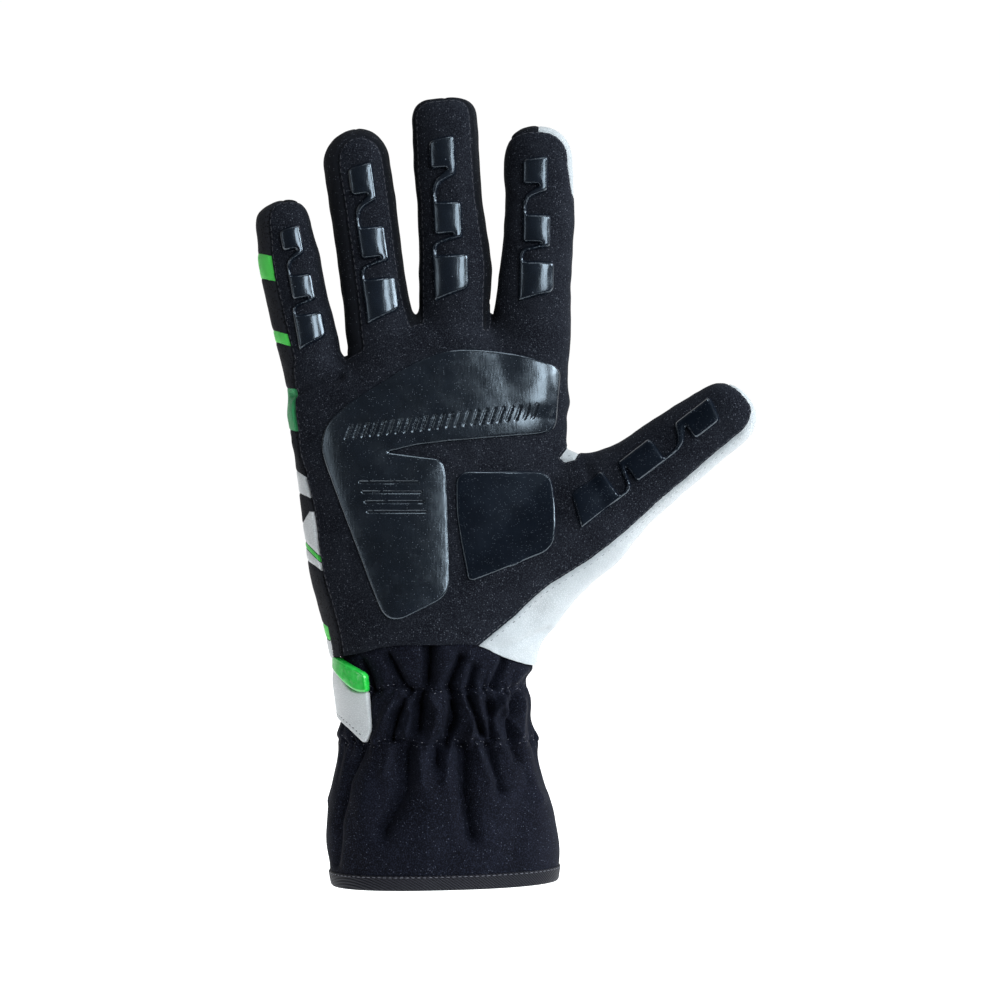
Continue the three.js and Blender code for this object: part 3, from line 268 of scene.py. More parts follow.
# Gathers: a line of points (x, height), width, height of the relief
CUFF_FOLDS = [
    ([(-16.8, 16.7), (-10.7, 6.4)], 1.7, -1.9),
    ([(-2.3, 19.5), (-2.9, 8.8), (-5.3, 0.4), (-6.5, -9.2)], 2.2, -2.7),
    ([(8.6, 16), (4.6, 7), (6.5, -4.4), (3.2, -14)], 1.5, -2.1),
    ([(13.3, 12.5), (10.9, 4.6)], 1.5, -1.5), ([(24, 15), (19.5, 6)], 1.7, -1.3),
    ([(-26, 14), (-22, 5)], 1.8, -1.3), ([(33.2, 11.9), (21.8, 4.6), (15.8, 2.8)], 1.7, 1.1),
    ([(-13.7, 3.4), (-20.4, -12.8)], 1.7, 1.3), ([(-11, 3.5), (-7.8, -4), (-11.5, -14)], 1.6, 1.5),
    ([(-4.5, 6), (0.8, -2), (-2.5, -15)], 1.8, 1.6), ([(4.9, 1.6), (1.3, -9.2)], 1.6, 1.2),
    ([(9, 3.4), (13, -5), (11, -14)], 1.5, 1.4), ([(13.5, 3), (18.4, -14)], 1.5, 1.4),
    ([(23.5, 3.5), (18.6, -5), (20.5, -13)], 1.5, 1.4), ([(22, 0), (29.5, -14)], 1.6, 1.3),
    ([(29.6, 4.6), (27.8, -14)], 1.7, 1.1), ([(-9, 4.6), (-13.5, -4), (-15.5, -12.5)], 1.4, -2),
    ([(5.5, 0.4), (3.7, -9.2)], 1.3, -1.4), ([(11, 2), (15.5, -10)], 1.3, -1.8),
    ([(18.2, 0.4), (18.8, -11.6)], 1.4, -1.7), ([(28, 2.5), (24.5, -6), (26, -12)], 1.4, -1.7),
    ([(-24, 2), (-25, -10)], 1.8, -1.4), ([(-13.7, -9.8), (-17.4, -23.7)], 2.2, 1.2),
    ([(-5.9, -10.4), (-4.7, -26.7)], 2.4, 1.2), ([(4.9, -12.8), (3.7, -26.7)], 2.4, 1.1),
    ([(12.1, -10.4), (19.4, -27.3)], 2.4, 1.1),
    ([(21.2, -11.6), (30.8, -23.7), (36.2, -33.3)], 2.4, 1.1),
    ([(27.5, -16), (32, -27)], 1.6, -0.9),
    ([(-10.7, -14), (-10.7, -29.7), (-18.6, -43.5)], 2.9, -2.3),
    ([(0.1, -15), (0, -21)], 1.8, -1.4), ([(9.7, -14.6), (9.7, -29.7), (12.1, -44.7)], 2.9, -2.2),
    ([(18.2, -14.6), (22.4, -29.7)], 2.2, -1.5), ([(26, -14.5), (27.5, -20)], 1.8, -1.2),
    ([(-25, -15), (-30.6, -27), (-34, -42), (-35.2, -56)], 1.7, -1.2),
    ([(-40, -11.3), (-34, -12)], 3.2, 1.4), ([(-20, -15), (-24, -28), (-26, -40)], 4, 0.9),
    ([(30, -34), (27, -52)], 5, -0.7), ([(-2, -30), (-3, -56)], 6, 0.7),
]
# The wrist panel and its tab: width of the rounded edge, how far they go into the cloth, and
# corners as share of the gauntlet's width, share down and rounding in mm
WRIST_EDGE = 0.8
WRIST_SUNK = 0.9
WRIST_PANEL = [(-0.6, 0.04, 0.5), (-0.44, 0.069, 3), (-0.36, 0.168, 3), (-0.292, 0.168, 0.5),
               (-0.275, 0.337, 2), (-0.305, 0.389, 1.5), (-0.41, 0.3, 8), (-0.6, 0.2, 0.5)]
WRIST_TAB = [(-0.452, 0.02, 1), (-0.3, 0.09, 1.5), (-0.292, 0.168, 1.5), (-0.344, 0.168, 3),
             (-0.404, 0.125, 3), (-0.452, 0.075, 1)]


# Curves and outlines

def curve(rows, column, position):
    """A column of a table on a smooth curve through its rows."""
    table = np.array(rows, float)
    x = table[:, 0]
    y = table[:, column]
    steady = np.diff(y) / np.diff(x)
    slopes = np.concatenate([steady[:1], (steady[:-1] + steady[1:]) / 2, steady[-1:]])
    position = np.clip(position, x[0], x[-1])
    k = np.clip(np.searchsorted(x, position, side="right") - 1, 0, len(x) - 2)
    span = x[k + 1] - x[k]
    t = (position - x[k]) / span
    t2 = t * t
    t3 = t2 * t
    low = (2 * t3 - 3 * t2 + 1) * y[k] + (t3 - 2 * t2 + t) * span * slopes[k]
    return low + (3 * t2 - 2 * t3) * y[k + 1] + (t3 - t2) * span * slopes[k + 1]


def by_side(rows, column, position, side):
    """A column of a table on the negative side, and the next column on the positive one."""
    return np.where(side < 0, curve(rows, column, position), curve(rows, column + 1, position))


def signed_power(value, power):
    return np.sign(value) * np.abs(value) ** power


def bell(value, wide):
    return np.exp(-(value / wide) ** 2)


def round_edge(t):
    """A quarter circle's rise while t goes from 0 to 1."""
    return np.sqrt(1 - (1 - t) ** 2)


def smoothstep(low, high, value):
    t = np.clip((value - low) / (high - low), 0, 1)
    return t * t * (3 - 2 * t)


def height_of(up):
    return WRIST_SEAM_HEIGHT + up * PALM_LENGTH


def cuff_height_of(down):
    return WRIST_SEAM_HEIGHT - down * CUFF_LENGTH


def finger_axes(finger):
    lean = math.radians(finger["lean"])
    along = np.array([math.sin(lean), math.cos(lean)])
    aside = np.array([math.cos(lean), -math.sin(lean)])
    return np.array(finger["root"]), along, aside


def on_finger(finger, along, aside):
    """A point of the palm's plane from a finger's own coordinates."""
    root, a, s = finger_axes(finger)
    return root + a * along + s * aside


CURL_START = height_of(0.75)
CURL_REACH = on_finger(FINGERS["middle"], FINGERS["middle"]["length"], 0)[1] - CURL_START
THUMB_START = PALM_WIDTH * 0.42
THUMB_REACH = on_finger(FINGERS["thumb"], FINGERS["thumb"]["length"], 0)[0] - THUMB_START


def middle_line(x, z):
    """How far forward the middle of the glove lies."""
    curl = np.clip((z - CURL_START) / CURL_REACH, 0, 1)
    out = np.maximum(0, (x - THUMB_START) / THUMB_REACH)
    return -FINGER_CURL * curl * curl - THUMB_FORWARD * out ** 1.2


def rounded(corners, steps=6):
    """A polygon with rounded corners, from rows of x, height and rounding."""
    points = []
    count = len(corners)
    for k, (x, z, radius) in enumerate(corners):
        here = np.array([x, z])
        before = np.array(corners[k - 1][:2]) - here
        after = np.array(corners[(k + 1) % count][:2]) - here
        size_before = np.linalg.norm(before)
        size_after = np.linalg.norm(after)
        enter = here + before * min(radius / size_before, 0.45)
        leave = here + after * min(radius / size_after, 0.45)
        for j in range(steps + 1):
            t = j / steps
            points.append((1 - t) ** 2 * enter + 2 * t * (1 - t) * here + t * t * leave)
    return np.array(points)


def from_segment(x, z, a, b):
    """Squared distance to the line from a to b."""
    ab = b - a
    t = np.clip(((x - a[0]) * ab[0] + (z - a[1]) * ab[1]) / (ab @ ab), 0, 1)
    return (x - a[0] - t * ab[0]) ** 2 + (z - a[1] - t * ab[1]) ** 2


def polygon_distance(x, z, corners):
    """Distance to a polygon's edge, negative inside."""
    best = np.full(x.shape, np.inf)
    inside = np.zeros(x.shape, bool)
    for a, b in zip(corners, np.roll(corners, -1, axis=0)):
        if (a == b).all():
            continue
        best = np.minimum(best, from_segment(x, z, a, b))
        if a[1] != b[1]:
            crosses = (a[1] > z) != (b[1] > z)
            inside ^= crosses & (x < (b[0] - a[0]) * (z - a[1]) / (b[1] - a[1]) + a[0])
    return np.where(inside, -np.sqrt(best), np.sqrt(best))


# The hand's surface as a field: negative inside

def finger_field(finger, x, y, z):
    root, along, aside = finger_axes(finger)
    u = (x - root[0]) * along[0] + (z - root[1]) * along[1]
    s = (x - root[0]) * aside[0] + (z - root[1]) * aside[1]
    rows = finger["rows"]
    at = u / finger["length"]
    near = (np.abs(s) < FINGER_SIDE) & (at > rows[0][0] - 0.4) & (at < 1.25)
    field = np.full(x.shape, LARGE)
    u, s, y, at = u[near], s[near], y[near], at[near]
    d = y - middle_line(root[0] + along[0] * u, root[1] + along[1] * u)
    half = by_side(rows, 1, at, s) * finger["width"]
    thick = curve(rows, 3, at) * finger["depth"] / 2
    over = np.clip((at - finger["cap_start"]) / (1 - finger["cap_start"]), 0, None)
    under = np.clip((rows[0][0] - at) * finger["length"] / ROOT_CAP, 0, None)
    p = FINGER_POWER
    q = finger["cap_power"]
    ring = (np.abs(s / half) ** p + np.abs(d / thick) ** p) ** (q / p)
    reach = (ring + over ** q + under ** q) ** (1 / q)
    field[near] = np.minimum((reach - 1) * np.minimum(half, thick), LARGE)
    return field


def hand_field(x, y, z):
    up = (z - WRIST_SEAM_HEIGHT) / PALM_LENGTH
    near = (x < HAND_ENDS[0]) & (z < HAND_ENDS[1])
    field = np.full(x.shape, LARGE)
    x, y, z, up = x[near], y[near], z[near], up[near]
    d = y - middle_line(np.zeros_like(x), z)
    half = by_side(HAND_ROWS, 1, up, x) * PALM_WIDTH
    thick = by_side(HAND_ROWS, 3, up, d) * HAND_DEPTH
    top = curve(HAND_TOP, 1, x)
    over = np.clip((z - top + HAND_CAP) / HAND_CAP, 0, None)
    p = HAND_POWER
    q = HAND_CAP_POWER
    ring = (np.abs(x / half) ** p + np.abs(d / thick) ** p) ** (q / p)
    reach = (ring + over ** q) ** (1 / q)
    field[near] = np.minimum((reach - 1) * np.minimum(half, thick), LARGE)
    return field


def blended(a, b, reach):
    """The union of two fields, rounded where they meet."""
    h = np.maximum(reach - np.abs(a - b), 0) / reach
    return np.minimum(a, b) - h * h * reach / 4


def body_field(points):
    x, y, z = points[..., 0], points[..., 1], points[..., 2]
    names = ("little", "ring", "middle", "index")
    fingers = np.min([finger_field(FINGERS[name], x, y, z) for name in names], axis=0)
    body = blended(hand_field(x, y, z), fingers, FINGER_BLEND)
    return blended(body, finger_field(FINGERS["thumb"], x, y, z), THUMB_BLEND)


def gradient(points, reach=0.3):
    rise = [body_field(points + shift) - body_field(points - shift) for shift in reach * np.eye(3)]
    return np.stack(rise, 1) / (2 * reach)


def onto_surface(points, rounds):
    """Moves points to where the field is zero, by short steps."""
    for _ in range(rounds):
        slope = gradient(points)
        step = body_field(points) / np.maximum((slope * slope).sum(1), LEAST_SLOPE)
        points = points - np.clip(step, -LONGEST_STEP, LONGEST_STEP)[:, None] * slope
    return points


def normals_at(points):
    slope = gradient(points, 0.5)
    return slope / np.linalg.norm(slope, axis=1)[:, None]


# Meshes as arrays

CORNERS = np.array([(i, j, k) for i in (0, 1) for j in (0, 1) for k in (0, 1)])
CELL_EDGES = [(a, b) for a in range(8) for b in range(a + 1, 8)
              if abs(CORNERS[a] - CORNERS[b]).sum() == 1]


def surface_net(values, origin, step):
    """One point in each cell that the surface crosses, and triangles between them."""
    shape = np.array(values.shape)
    inside = values < 0
    count = np.zeros(shape - 1, int)
    for i, j, k in CORNERS:
        count += inside[i:shape[0] - 1 + i, j:shape[1] - 1 + j, k:shape[2] - 1 + k]
    cells = np.argwhere((count > 0) & (count < 8))
    index = np.full(shape - 1, -1)
    index[tuple(cells.T)] = np.arange(len(cells))
    total = np.zeros((len(cells), 3))
    hits = np.zeros(len(cells))
    for a, b in CELL_EDGES:
        va = values[tuple((cells + CORNERS[a]).T)]
        vb = values[tuple((cells + CORNERS[b]).T)]
        crossing = (va < 0) != (vb < 0)
        t = va[crossing] / (va[crossing] - vb[crossing])
        total[crossing] += CORNERS[a] + t[:, None] * (CORNERS[b] - CORNERS[a])
        hits[crossing] += 1
    points = origin + step * (cells + total / hits[:, None])
    quads = []
    for axis in range(3):
        here = np.take(inside, np.arange(shape[axis] - 1), axis)
        there = np.take(inside, np.arange(1, shape[axis]), axis)
        spots = np.argwhere(here != there)
        other = [(axis + 1) % 3, (axis + 2) % 3]
        fits = np.all(spots[:, other] > 0, axis=1)
        fits &= np.all(spots[:, other] < shape[other] - 1, axis=1)
        spots = spots[fits]
        one, two = np.eye(3, dtype=int)[other]
        loop = [spots - one - two, spots - two, spots, spots - one]
        quad = np.stack([index[tuple(cell.T)] for cell in loop], 1)
        outwards = here[tuple(spots.T)]
        quad[~outwards] = quad[~outwards][:, ::-1]
        quads.append(quad)
    quads = np.concatenate(quads)
    diagonal = np.linalg.norm(points[quads[:, 0]] - points[quads[:, 2]], axis=1)
    other = np.linalg.norm(points[quads[:, 1]] - points[quads[:, 3]], axis=1)
    turn = diagonal > other
    quads[turn] = np.roll(quads[turn], 1, axis=1)
    triangles = np.concatenate([quads[:, [0, 1, 2]], quads[:, [0, 2, 3]]])
    return points, triangles


def relaxed(points, triangles):
    """Moves each point to the middle of its neighbours."""
    total = np.zeros_like(points)
    count = np.zeros(len(points))
    for a, b in ((0, 1), (1, 2), (2, 0)):
        for p, q in ((a, b), (b, a)):
            np.add.at(total, triangles[:, p], points[triangles[:, q]])
            np.add.at(count, triangles[:, p], 1)
    return total / np.maximum(count, 1)[:, None]


def cut(points, triangles, values, snap=0.12):
    """Splits triangles where the values change sign."""
    values = np.where(np.abs(values) < snap, 0, values)
    signs = np.sign(values).astype(int)[triangles]
    crossing = signs * np.roll(signs, -1, axis=1) < 0
    count = crossing.sum(1)
    row, edge = np.nonzero(crossing)
    a = triangles[row, edge]
    b = triangles[row, (edge + 1) % 3]
    size = len(points)
    key = np.minimum(a, b) * size + np.maximum(a, b)
    unique, inverse = np.unique(key, return_inverse=True)
    low = unique // size
    high = unique % size
    t = values[low] / (values[low] - values[high])
    added = points[low] + t[:, None] * (points[high] - points[low])
    fresh = np.full(triangles.shape, -1)
    fresh[row, edge] = size + inverse
    parts = [triangles[count == 0]]
    rows = np.nonzero(count == 1)[0]
    k = np.argmax(crossing[rows], axis=1)
    v0 = triangles[rows, k]
    v1 = triangles[rows, (k + 1) % 3]
    v2 = triangles[rows, (k + 2) % 3]
    e = fresh[rows, k]
    parts += [np.stack(face, 1) for face in ((v0, e, v2), (e, v1, v2))]
    rows = np.nonzero(count == 2)[0]
    k = np.argmin(crossing[rows], axis=1)
    v0 = triangles[rows, (k + 2) % 3]
    v1 = triangles[rows, k]
    v2 = triangles[rows, (k + 1) % 3]
    e01 = fresh[rows, (k + 2) % 3]
    e20 = fresh[rows, (k + 1) % 3]
    parts += [np.stack(face, 1) for face in ((v0, e01, e20), (e01, v1, v2), (e01, v2, e20))]
    return np.concatenate([points, added]), np.concatenate(parts)


def triangle_edges(triangles, size):
    """The edges of all triangles, and a number for each that is the same both ways round."""
    edges = np.concatenate([triangles[:, [0, 1]], triangles[:, [1, 2]], triangles[:, [2, 0]]])
    return edges, edges.min(1) * size + edges.max(1)


def subdivided(points, triangles):
    """Each triangle in four."""
    _, key = triangle_edges(triangles, len(points))
    unique, inverse = np.unique(key, return_inverse=True)
    middle = (points[unique // len(points)] + points[unique % len(points)]) / 2
    m01, m12, m20 = (len(points) + inverse).reshape(3, -1)
    v0, v1, v2 = triangles.T
    faces = ((v0, m01, m20), (v1, m12, m01), (v2, m20, m12), (m01, m12, m20))
    return np.concatenate([points, middle]), np.concatenate([np.stack(f, 1) for f in faces])


def kept(points, triangles, *fields):
    """Only the points that the triangles use, with the same rows of other arrays."""
    used, inverse = np.unique(triangles, return_inverse=True)
    return points[used], inverse.reshape(-1, 3), *(field[used] for field in fields)


def border_edges(triangles):
    """The edges that belong to one triangle only."""
    edges, key = triangle_edges(triangles, triangles.max() + 1)
    _, first, count = np.unique(key, return_index=True, return_counts=True)
    return edges[first[count == 1]]


def trimmed(points, triangles, level, offsets):
    """The part of a sheet where the level is negative, with clean edges along the offsets."""
    for offset in offsets:
        points, triangles = cut(points, triangles, level(points) - offset, 0.05)
    return kept(points, triangles[level(points[triangles].mean(1)) < 0])


def thickened(outer, inner, triangles):
    """A closed sheet between two layers of points."""
    size = len(outer)
    edges = border_edges(triangles)
    walls = [
        np.stack([edges[:, 1], edges[:, 0], edges[:, 0] + size], 1),
        np.stack([edges[:, 1], edges[:, 0] + size, edges[:, 1] + size], 1),
    ]
    faces = [triangles, triangles[:, ::-1] + size, *walls]
    return np.concatenate([outer, inner]), np.concatenate(faces)


def distance_to(points, targets):
    tree = KDTree(len(targets))
    for k, target in enumerate(targets):
        tree.insert(target, k)
    tree.balance()
    return np.array([tree.find(point)[2] for point in points])


# Blender objects

def new_object(name, data):
    thing = bpy.data.objects.new(name, data)
    bpy.context.scene.collection.objects.link(thing)
    return thing


def add_piece(name, points, triangles, material, slot, nodes=(), sharp=40):
    """A mesh in mm as a piece of the part, in place of the nodes."""
    mesh = bpy.data.meshes.new(name)
    mesh.from_pydata((points * MM).tolist(), [], triangles.tolist())
    mesh.materials.append(material)
    mesh.validate()
    mesh.shade_smooth()
    mesh.set_sharp_from_angle(angle=math.radians(sharp))
    piece = new_object(name, mesh)
    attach(piece, "root")
    if nodes:
        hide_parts(*nodes)
    return piece


# Materials

def blank_material(name, colour, roughness, **sockets):
    """A material with plain values. In a socket's name _ stands for a space."""
    material = bpy.data.materials.new(name)
    material.use_nodes = True
    shader = material.node_tree.nodes["Principled BSDF"]
    shader.inputs["Base Color"].default_value = (*colour, 1)
    shader.inputs["Roughness"].default_value = roughness
    for socket, value in sockets.items():
        shader.inputs[socket.replace("_", " ")].default_value = value
    return material


class Nodes:
    """Short names for building a material's nodes. Coordinates are in mm."""

    def __init__(self, material):
        self.tree = material.node_tree
        self.shader = self.tree.nodes["Principled BSDF"]
        place = self.tree.nodes.new("ShaderNodeTexCoord")
        scale = self.tree.nodes.new("ShaderNodeVectorMath")
        scale.operation = "SCALE"
        scale.inputs["Scale"].default_value = 1 / MM
        self.tree.links.new(place.outputs["Object"], scale.inputs[0])
        self.place = scale.outputs[0]

    def put(self, kind, inputs, **settings):
        node = self.tree.nodes.new(kind)
        for key, value in settings.items():
            setattr(node, key, value)
        for socket, value in inputs:
            if isinstance(value, bpy.types.NodeSocket):
                self.tree.links.new(value, node.inputs[socket])
            else:
                node.inputs[socket].default_value = value
        return node

    def noise(self, scale, detail, place=None):
        inputs = [("Vector", place or self.place), ("Scale", scale), ("Detail", detail)]
        return self.put("ShaderNodeTexNoise", inputs).outputs["Fac"]

    def cells(self, scale, output="Distance", feature="F1", randomness=1.0):
        inputs = [("Vector", self.place), ("Scale", scale), ("Randomness", randomness)]
        return self.put("ShaderNodeTexVoronoi", inputs, feature=feature).outputs[output]

    def math(self, operation, a, b, clamp=False):
        inputs = [(0, a), (1, b)]
        return self.put("ShaderNodeMath", inputs, operation=operation, use_clamp=clamp).outputs[0]

    def ramp(self, value, low, high, to_low=0.0, to_high=1.0):
        inputs = [("Value", value), ("From Min", low), ("From Max", high),
                  ("To Min", to_low), ("To Max", to_high)]
        return self.put("ShaderNodeMapRange", inputs).outputs["Result"]

    def mix(self, share, a, b):
        """Two colours mixed. Each is a socket, or red, green and blue."""
        ends = [end if isinstance(end, bpy.types.NodeSocket) else (*end, 1) for end in (a, b)]
        inputs = [("Factor", share), (6, ends[0]), (7, ends[1])]
        return self.put("ShaderNodeMix", inputs, data_type="RGBA").outputs[2]

    def clouded(self, scale, detail, dark, pale):
        """A colour that drifts softly between two."""
        return self.mix(self.ramp(self.noise(scale, detail), 0.35, 0.65), dark, pale)

    def scaled(self, x, y, z):
        inputs = [(0, self.place), (1, (x, y, z))]
        return self.put("ShaderNodeVectorMath", inputs, operation="MULTIPLY").outputs[0]

    def wave(self, scale, place):
        inputs = [("Vector", place), ("Scale", scale)]
        return self.put("ShaderNodeTexWave", inputs, bands_direction="DIAGONAL").outputs["Fac"]

    def colour(self, value):
        self.tree.links.new(value, self.shader.inputs["Base Color"])

    def roughness(self, value):
        self.tree.links.new(value, self.shader.inputs["Roughness"])

    def bump(self, height, depth):
        inputs = [("Height", height), ("Distance", depth * MM), ("Strength", 1)]
        node = self.put("ShaderNodeBump", inputs)
        self.tree.links.new(node.outputs[0], self.shader.inputs["Normal"])


def specks(nodes, density, size, share):
    """Small dots of one size, in a share of the cells of an uneven grid."""
    distance = nodes.cells(density)
    chance = nodes.put("ShaderNodeSeparateColor", [(0, nodes.cells(density, "Color"))]).outputs[0]
    dot = nodes.ramp(distance, size, size * 0.5)
    picked = nodes.ramp(chance, share, share - 0.02)
    return nodes.math("MULTIPLY", dot, picked, clamp=True)


def napped_cloth(material, cloud, nap, dots, rough):
    """Cloth with soft clouds, a nap of pale fibres, specks and a rough surface.

    cloud: scale, detail, dark and pale colour. nap: scale, start, colour. dots: density, size,
    share, colour. rough: scale, detail, depth.
    """
    nodes = Nodes(material)
    base = nodes.clouded(*cloud)
    base = nodes.mix(nodes.ramp(nodes.noise(nap[0], 3), nap[1], 0.7), base, nap[2])
    nodes.colour(nodes.mix(specks(nodes, *dots[:3]), base, dots[3]))
    nodes.bump(nodes.noise(*rough[:2]), rough[2])
    return material


def suede():
    material = blank_material("suede_black", (0.006, 0.0065, 0.011), 0.9, Specular_IOR_Level=0.05,
                              Sheen_Weight=0.012, Sheen_Roughness=0.5, Sheen_Tint=(0.8, 0.85, 1, 1))
    return napped_cloth(material, (0.09, 4, (0.0042, 0.005, 0.0082), (0.0082, 0.0095, 0.014)),
                        (2.7, 0.48, (0.027, 0.031, 0.04)), (1.7, 0.32, 0.2, (0.1, 0.11, 0.135)),
                        (2.6, 3, 0.12))


def softshell():
    material = blank_material("softshell_navy", (0.009, 0.011, 0.024), 0.8, Specular_IOR_Level=0.06,
                              Sheen_Weight=0.012, Sheen_Roughness=0.4, Sheen_Tint=(0.75, 0.8, 1, 1))
    return napped_cloth(material, (0.07, 3, (0.0016, 0.0019, 0.004), (0.0032, 0.0039, 0.0076)),
                        (2.4, 0.47, (0.0135, 0.016, 0.028)), (1.6, 0.28, 0.14, (0.08, 0.09, 0.125)),
                        (3.2, 2, 0.07))


def mesh_cloth(name, colour, hole):
    material = blank_material(name, colour, 0.8, Specular_IOR_Level=0.1, Sheen_Weight=0.02)
    nodes = Nodes(material)
    holes = nodes.ramp(nodes.cells(1.15, randomness=0.9), 0.2, 0.38)
    nodes.colour(nodes.mix(holes, hole, colour))
    nodes.bump(holes, 0.25)
    return material


def ribbed(material, scale, low, high, depth, stretch=(1, 1, 1), dots=None):
    """Cloth with slanted ribs of two colours, and specks where dots gives their look."""
    nodes = Nodes(material)
    rib = nodes.wave(scale, nodes.scaled(*stretch))
    base = nodes.mix(rib, low, high)
    if dots:
        base = nodes.mix(specks(nodes, *dots[:3]), base, dots[3])
    nodes.colour(base)
    nodes.bump(rib, depth)
    return material


def stretch_cloth():
    material = blank_material("stretch_black", (0.006, 0.007, 0.01), 0.85, Specular_IOR_Level=0.08,
                              Sheen_Weight=0.01)
    return ribbed(material, 1.9, (0.005, 0.0058, 0.0085), (0.012, 0.014, 0.019), 0.12,
                  dots=(1.4, 0.3, 0.3, (0.075, 0.082, 0.1)))


def leatherette(name, low, high):
    material = blank_material(name, high, 0.42, Specular_IOR_Level=0.4)
    nodes = Nodes(material)
    base = nodes.clouded(0.05, 3, low, high)
    grain = nodes.ramp(nodes.cells(1.4, feature="DISTANCE_TO_EDGE"), 0, 0.25)
    nodes.colour(nodes.mix(grain, [0.88 * v for v in low], base))
    nodes.roughness(nodes.ramp(nodes.noise(0.5, 2), 0.3, 0.7, 0.36, 0.5))
    nodes.bump(grain, 0.05)
    return material


def green_cloth(name, low, high):
    material = blank_material(name, high, 0.55, Specular_IOR_Level=0.35, Sheen_Weight=0.1)
    return ribbed(material, 2.2, low, high, 0.08)


def green_rubber():
    material = blank_material("rubber_green", (0.017, 0.5, 0.05), 0.2, Specular_IOR_Level=0.55,
                              Coat_Weight=0.6, Coat_Roughness=0.08)
    nodes = Nodes(material)
    cloud = nodes.ramp(nodes.noise(0.35, 3), 0.3, 0.7)
    nodes.colour(nodes.mix(cloud, (0.012, 0.42, 0.04), (0.03, 0.6, 0.075)))
    nodes.roughness(nodes.ramp(nodes.noise(0.6, 3), 0.35, 0.65, 0.14, 0.28))
    nodes.bump(nodes.noise(0.5, 2), 0.2)
    return material


def silicone(name, shine, low, high, share, depth=1.0, density=0.9):
    """Silicone of a roughness from low to high, with specks in a share of the cells."""
    material = blank_material(name, (0.006, 0.0075, 0.01), low, Specular_IOR_Level=shine,
                              Specular_Tint=(0.74, 0.88, 1, 1))
    nodes = Nodes(material)
    base = nodes.clouded(0.12, 3, [depth * v for v in (0.003, 0.005, 0.0092)],
                         [depth * v for v in (0.006, 0.0092, 0.0155)])
    dots = specks(nodes, density, 0.24, share)
    nodes.colour(nodes.mix(dots, base, (0.07, 0.082, 0.1)))
    smear = nodes.ramp(nodes.noise(0.2, 4), 0.35, 0.7, low, high)
    nodes.roughness(nodes.math("ADD", smear, nodes.math("MULTIPLY", dots, 0.4)))
    brushed = nodes.noise(1, 3, nodes.scaled(1.4, 1.4, 0.25))
    nodes.bump(brushed, 0.045)
    return material


def tape():
    material = blank_material("tape_black", (0.008, 0.008, 0.012), 0.6, Specular_IOR_Level=0.15,
                              Sheen_Weight=0.02)
    return ribbed(material, 0.42, (0.002, 0.002, 0.004), (0.014, 0.015, 0.022), 0.25, (1, 1, 1.6))


def thread(name, colour):
    material = blank_material(name, colour, 0.6, Specular_IOR_Level=0.3)
    nodes = Nodes(material)
    nodes.bump(nodes.wave(4, nodes.place), 0.05)
    return material


SUEDE = suede()
SOFTSHELL = softshell()
BACK_MESH = mesh_cloth("mesh_black", (0.014, 0.015, 0.019), (0.0025, 0.0025, 0.0035))
STRETCH = stretch_cloth()
# Two copies of one white leather. The copy on the thumb's side, which the lamps light strongly, is
# painted darker. The copy on the outer side panels and the wrist panel, which the lamps leave dim, is
# painted lighter, as painted light.
LEATHER_PAINTED_DARKER = leatherette("leather_white_painted_darker", (0.4, 0.435, 0.455), (0.48, 0.505, 0.52))
LEATHER_PAINTED_LIGHTER = leatherette("leather_side_painted_lighter", (0.57, 0.595, 0.61), (0.66, 0.68, 0.69))
GREEN = green_cloth("cloth_green", (0.05, 0.58, 0.055), (0.085, 0.74, 0.1))
DARK_GREEN = green_cloth("cloth_green_dark", (0.008, 0.24, 0.07), (0.014, 0.33, 0.1))
RUBBER = green_rubber()
SILICONE = silicone("silicone_black", 0.85, 0.18, 0.28, 0.08)
PAD_SILICONE = silicone("silicone_pad", 0.95, 0.22, 0.3, 0.3, 0.8, 1.6)
MATTE_SILICONE = silicone("silicone_matte", 0.05, 0.45, 0.55, 0.5, 0.8, 1.9)
TAPE = tape()
DARK_THREAD = thread("thread_dark", (0.045, 0.048, 0.06))
PALE_THREAD = thread("thread_pale", (0.13, 0.135, 0.16))
HOLE_THREAD = thread("thread_hole", (0.05, 0.055, 0.06))
# The side panels' white leather is the copy painted lighter: painted light on the dim outer side.
CLOTHS = {"white_leather": LEATHER_PAINTED_LIGHTER, "green_fabric": GREEN}


# The palm panel's outline in the palm's plane

def finger_region(finger):
    """The palm panel's outline on a finger: up its left side, over the tip and down."""
    left, right, tip = finger["inset"]
    cap_right = finger.get("cap_right", right)
    rows = finger["rows"]
    width = finger["width"]
    length = finger["length"]
    start = finger["cap_start"]
    ats = np.linspace(finger["panel_from"], start, 24)
    points = [on_finger(finger, at * length, left - curve(rows, 1, at) * width) for at in ats]
    cap = (1 - start) * length - tip
    q = finger["cap_power"]
    for turn in np.linspace(0, math.pi, 22)[1:-1]:
        c = math.cos(turn)
        rise = math.sin(turn) ** (2 / q) * cap
        side, inset = (1, left) if c > 0 else (2, cap_right)
        edge = curve(rows, side, start) * width - inset
        across = -math.copysign(abs(c) ** (2 / q), c) * edge
        points.append(on_finger(finger, start * length + rise, across))
    for at in ats[::-1]:
        inset = right + (cap_right - right) * smoothstep(0.5, start, at)
        points.append(on_finger(finger, at * length, curve(rows, 2, at) * width - inset))
    return np.array(points)


def smooth_through(points):
    """A smooth line through points."""
    steps = 8
    points = np.array(points, float)
    rows = np.column_stack([np.arange(len(points)), points])
    t = np.linspace(0, len(points) - 1, (len(points) - 1) * steps + 1)
    return np.column_stack([curve(rows, 1, t), curve(rows, 2, t)])


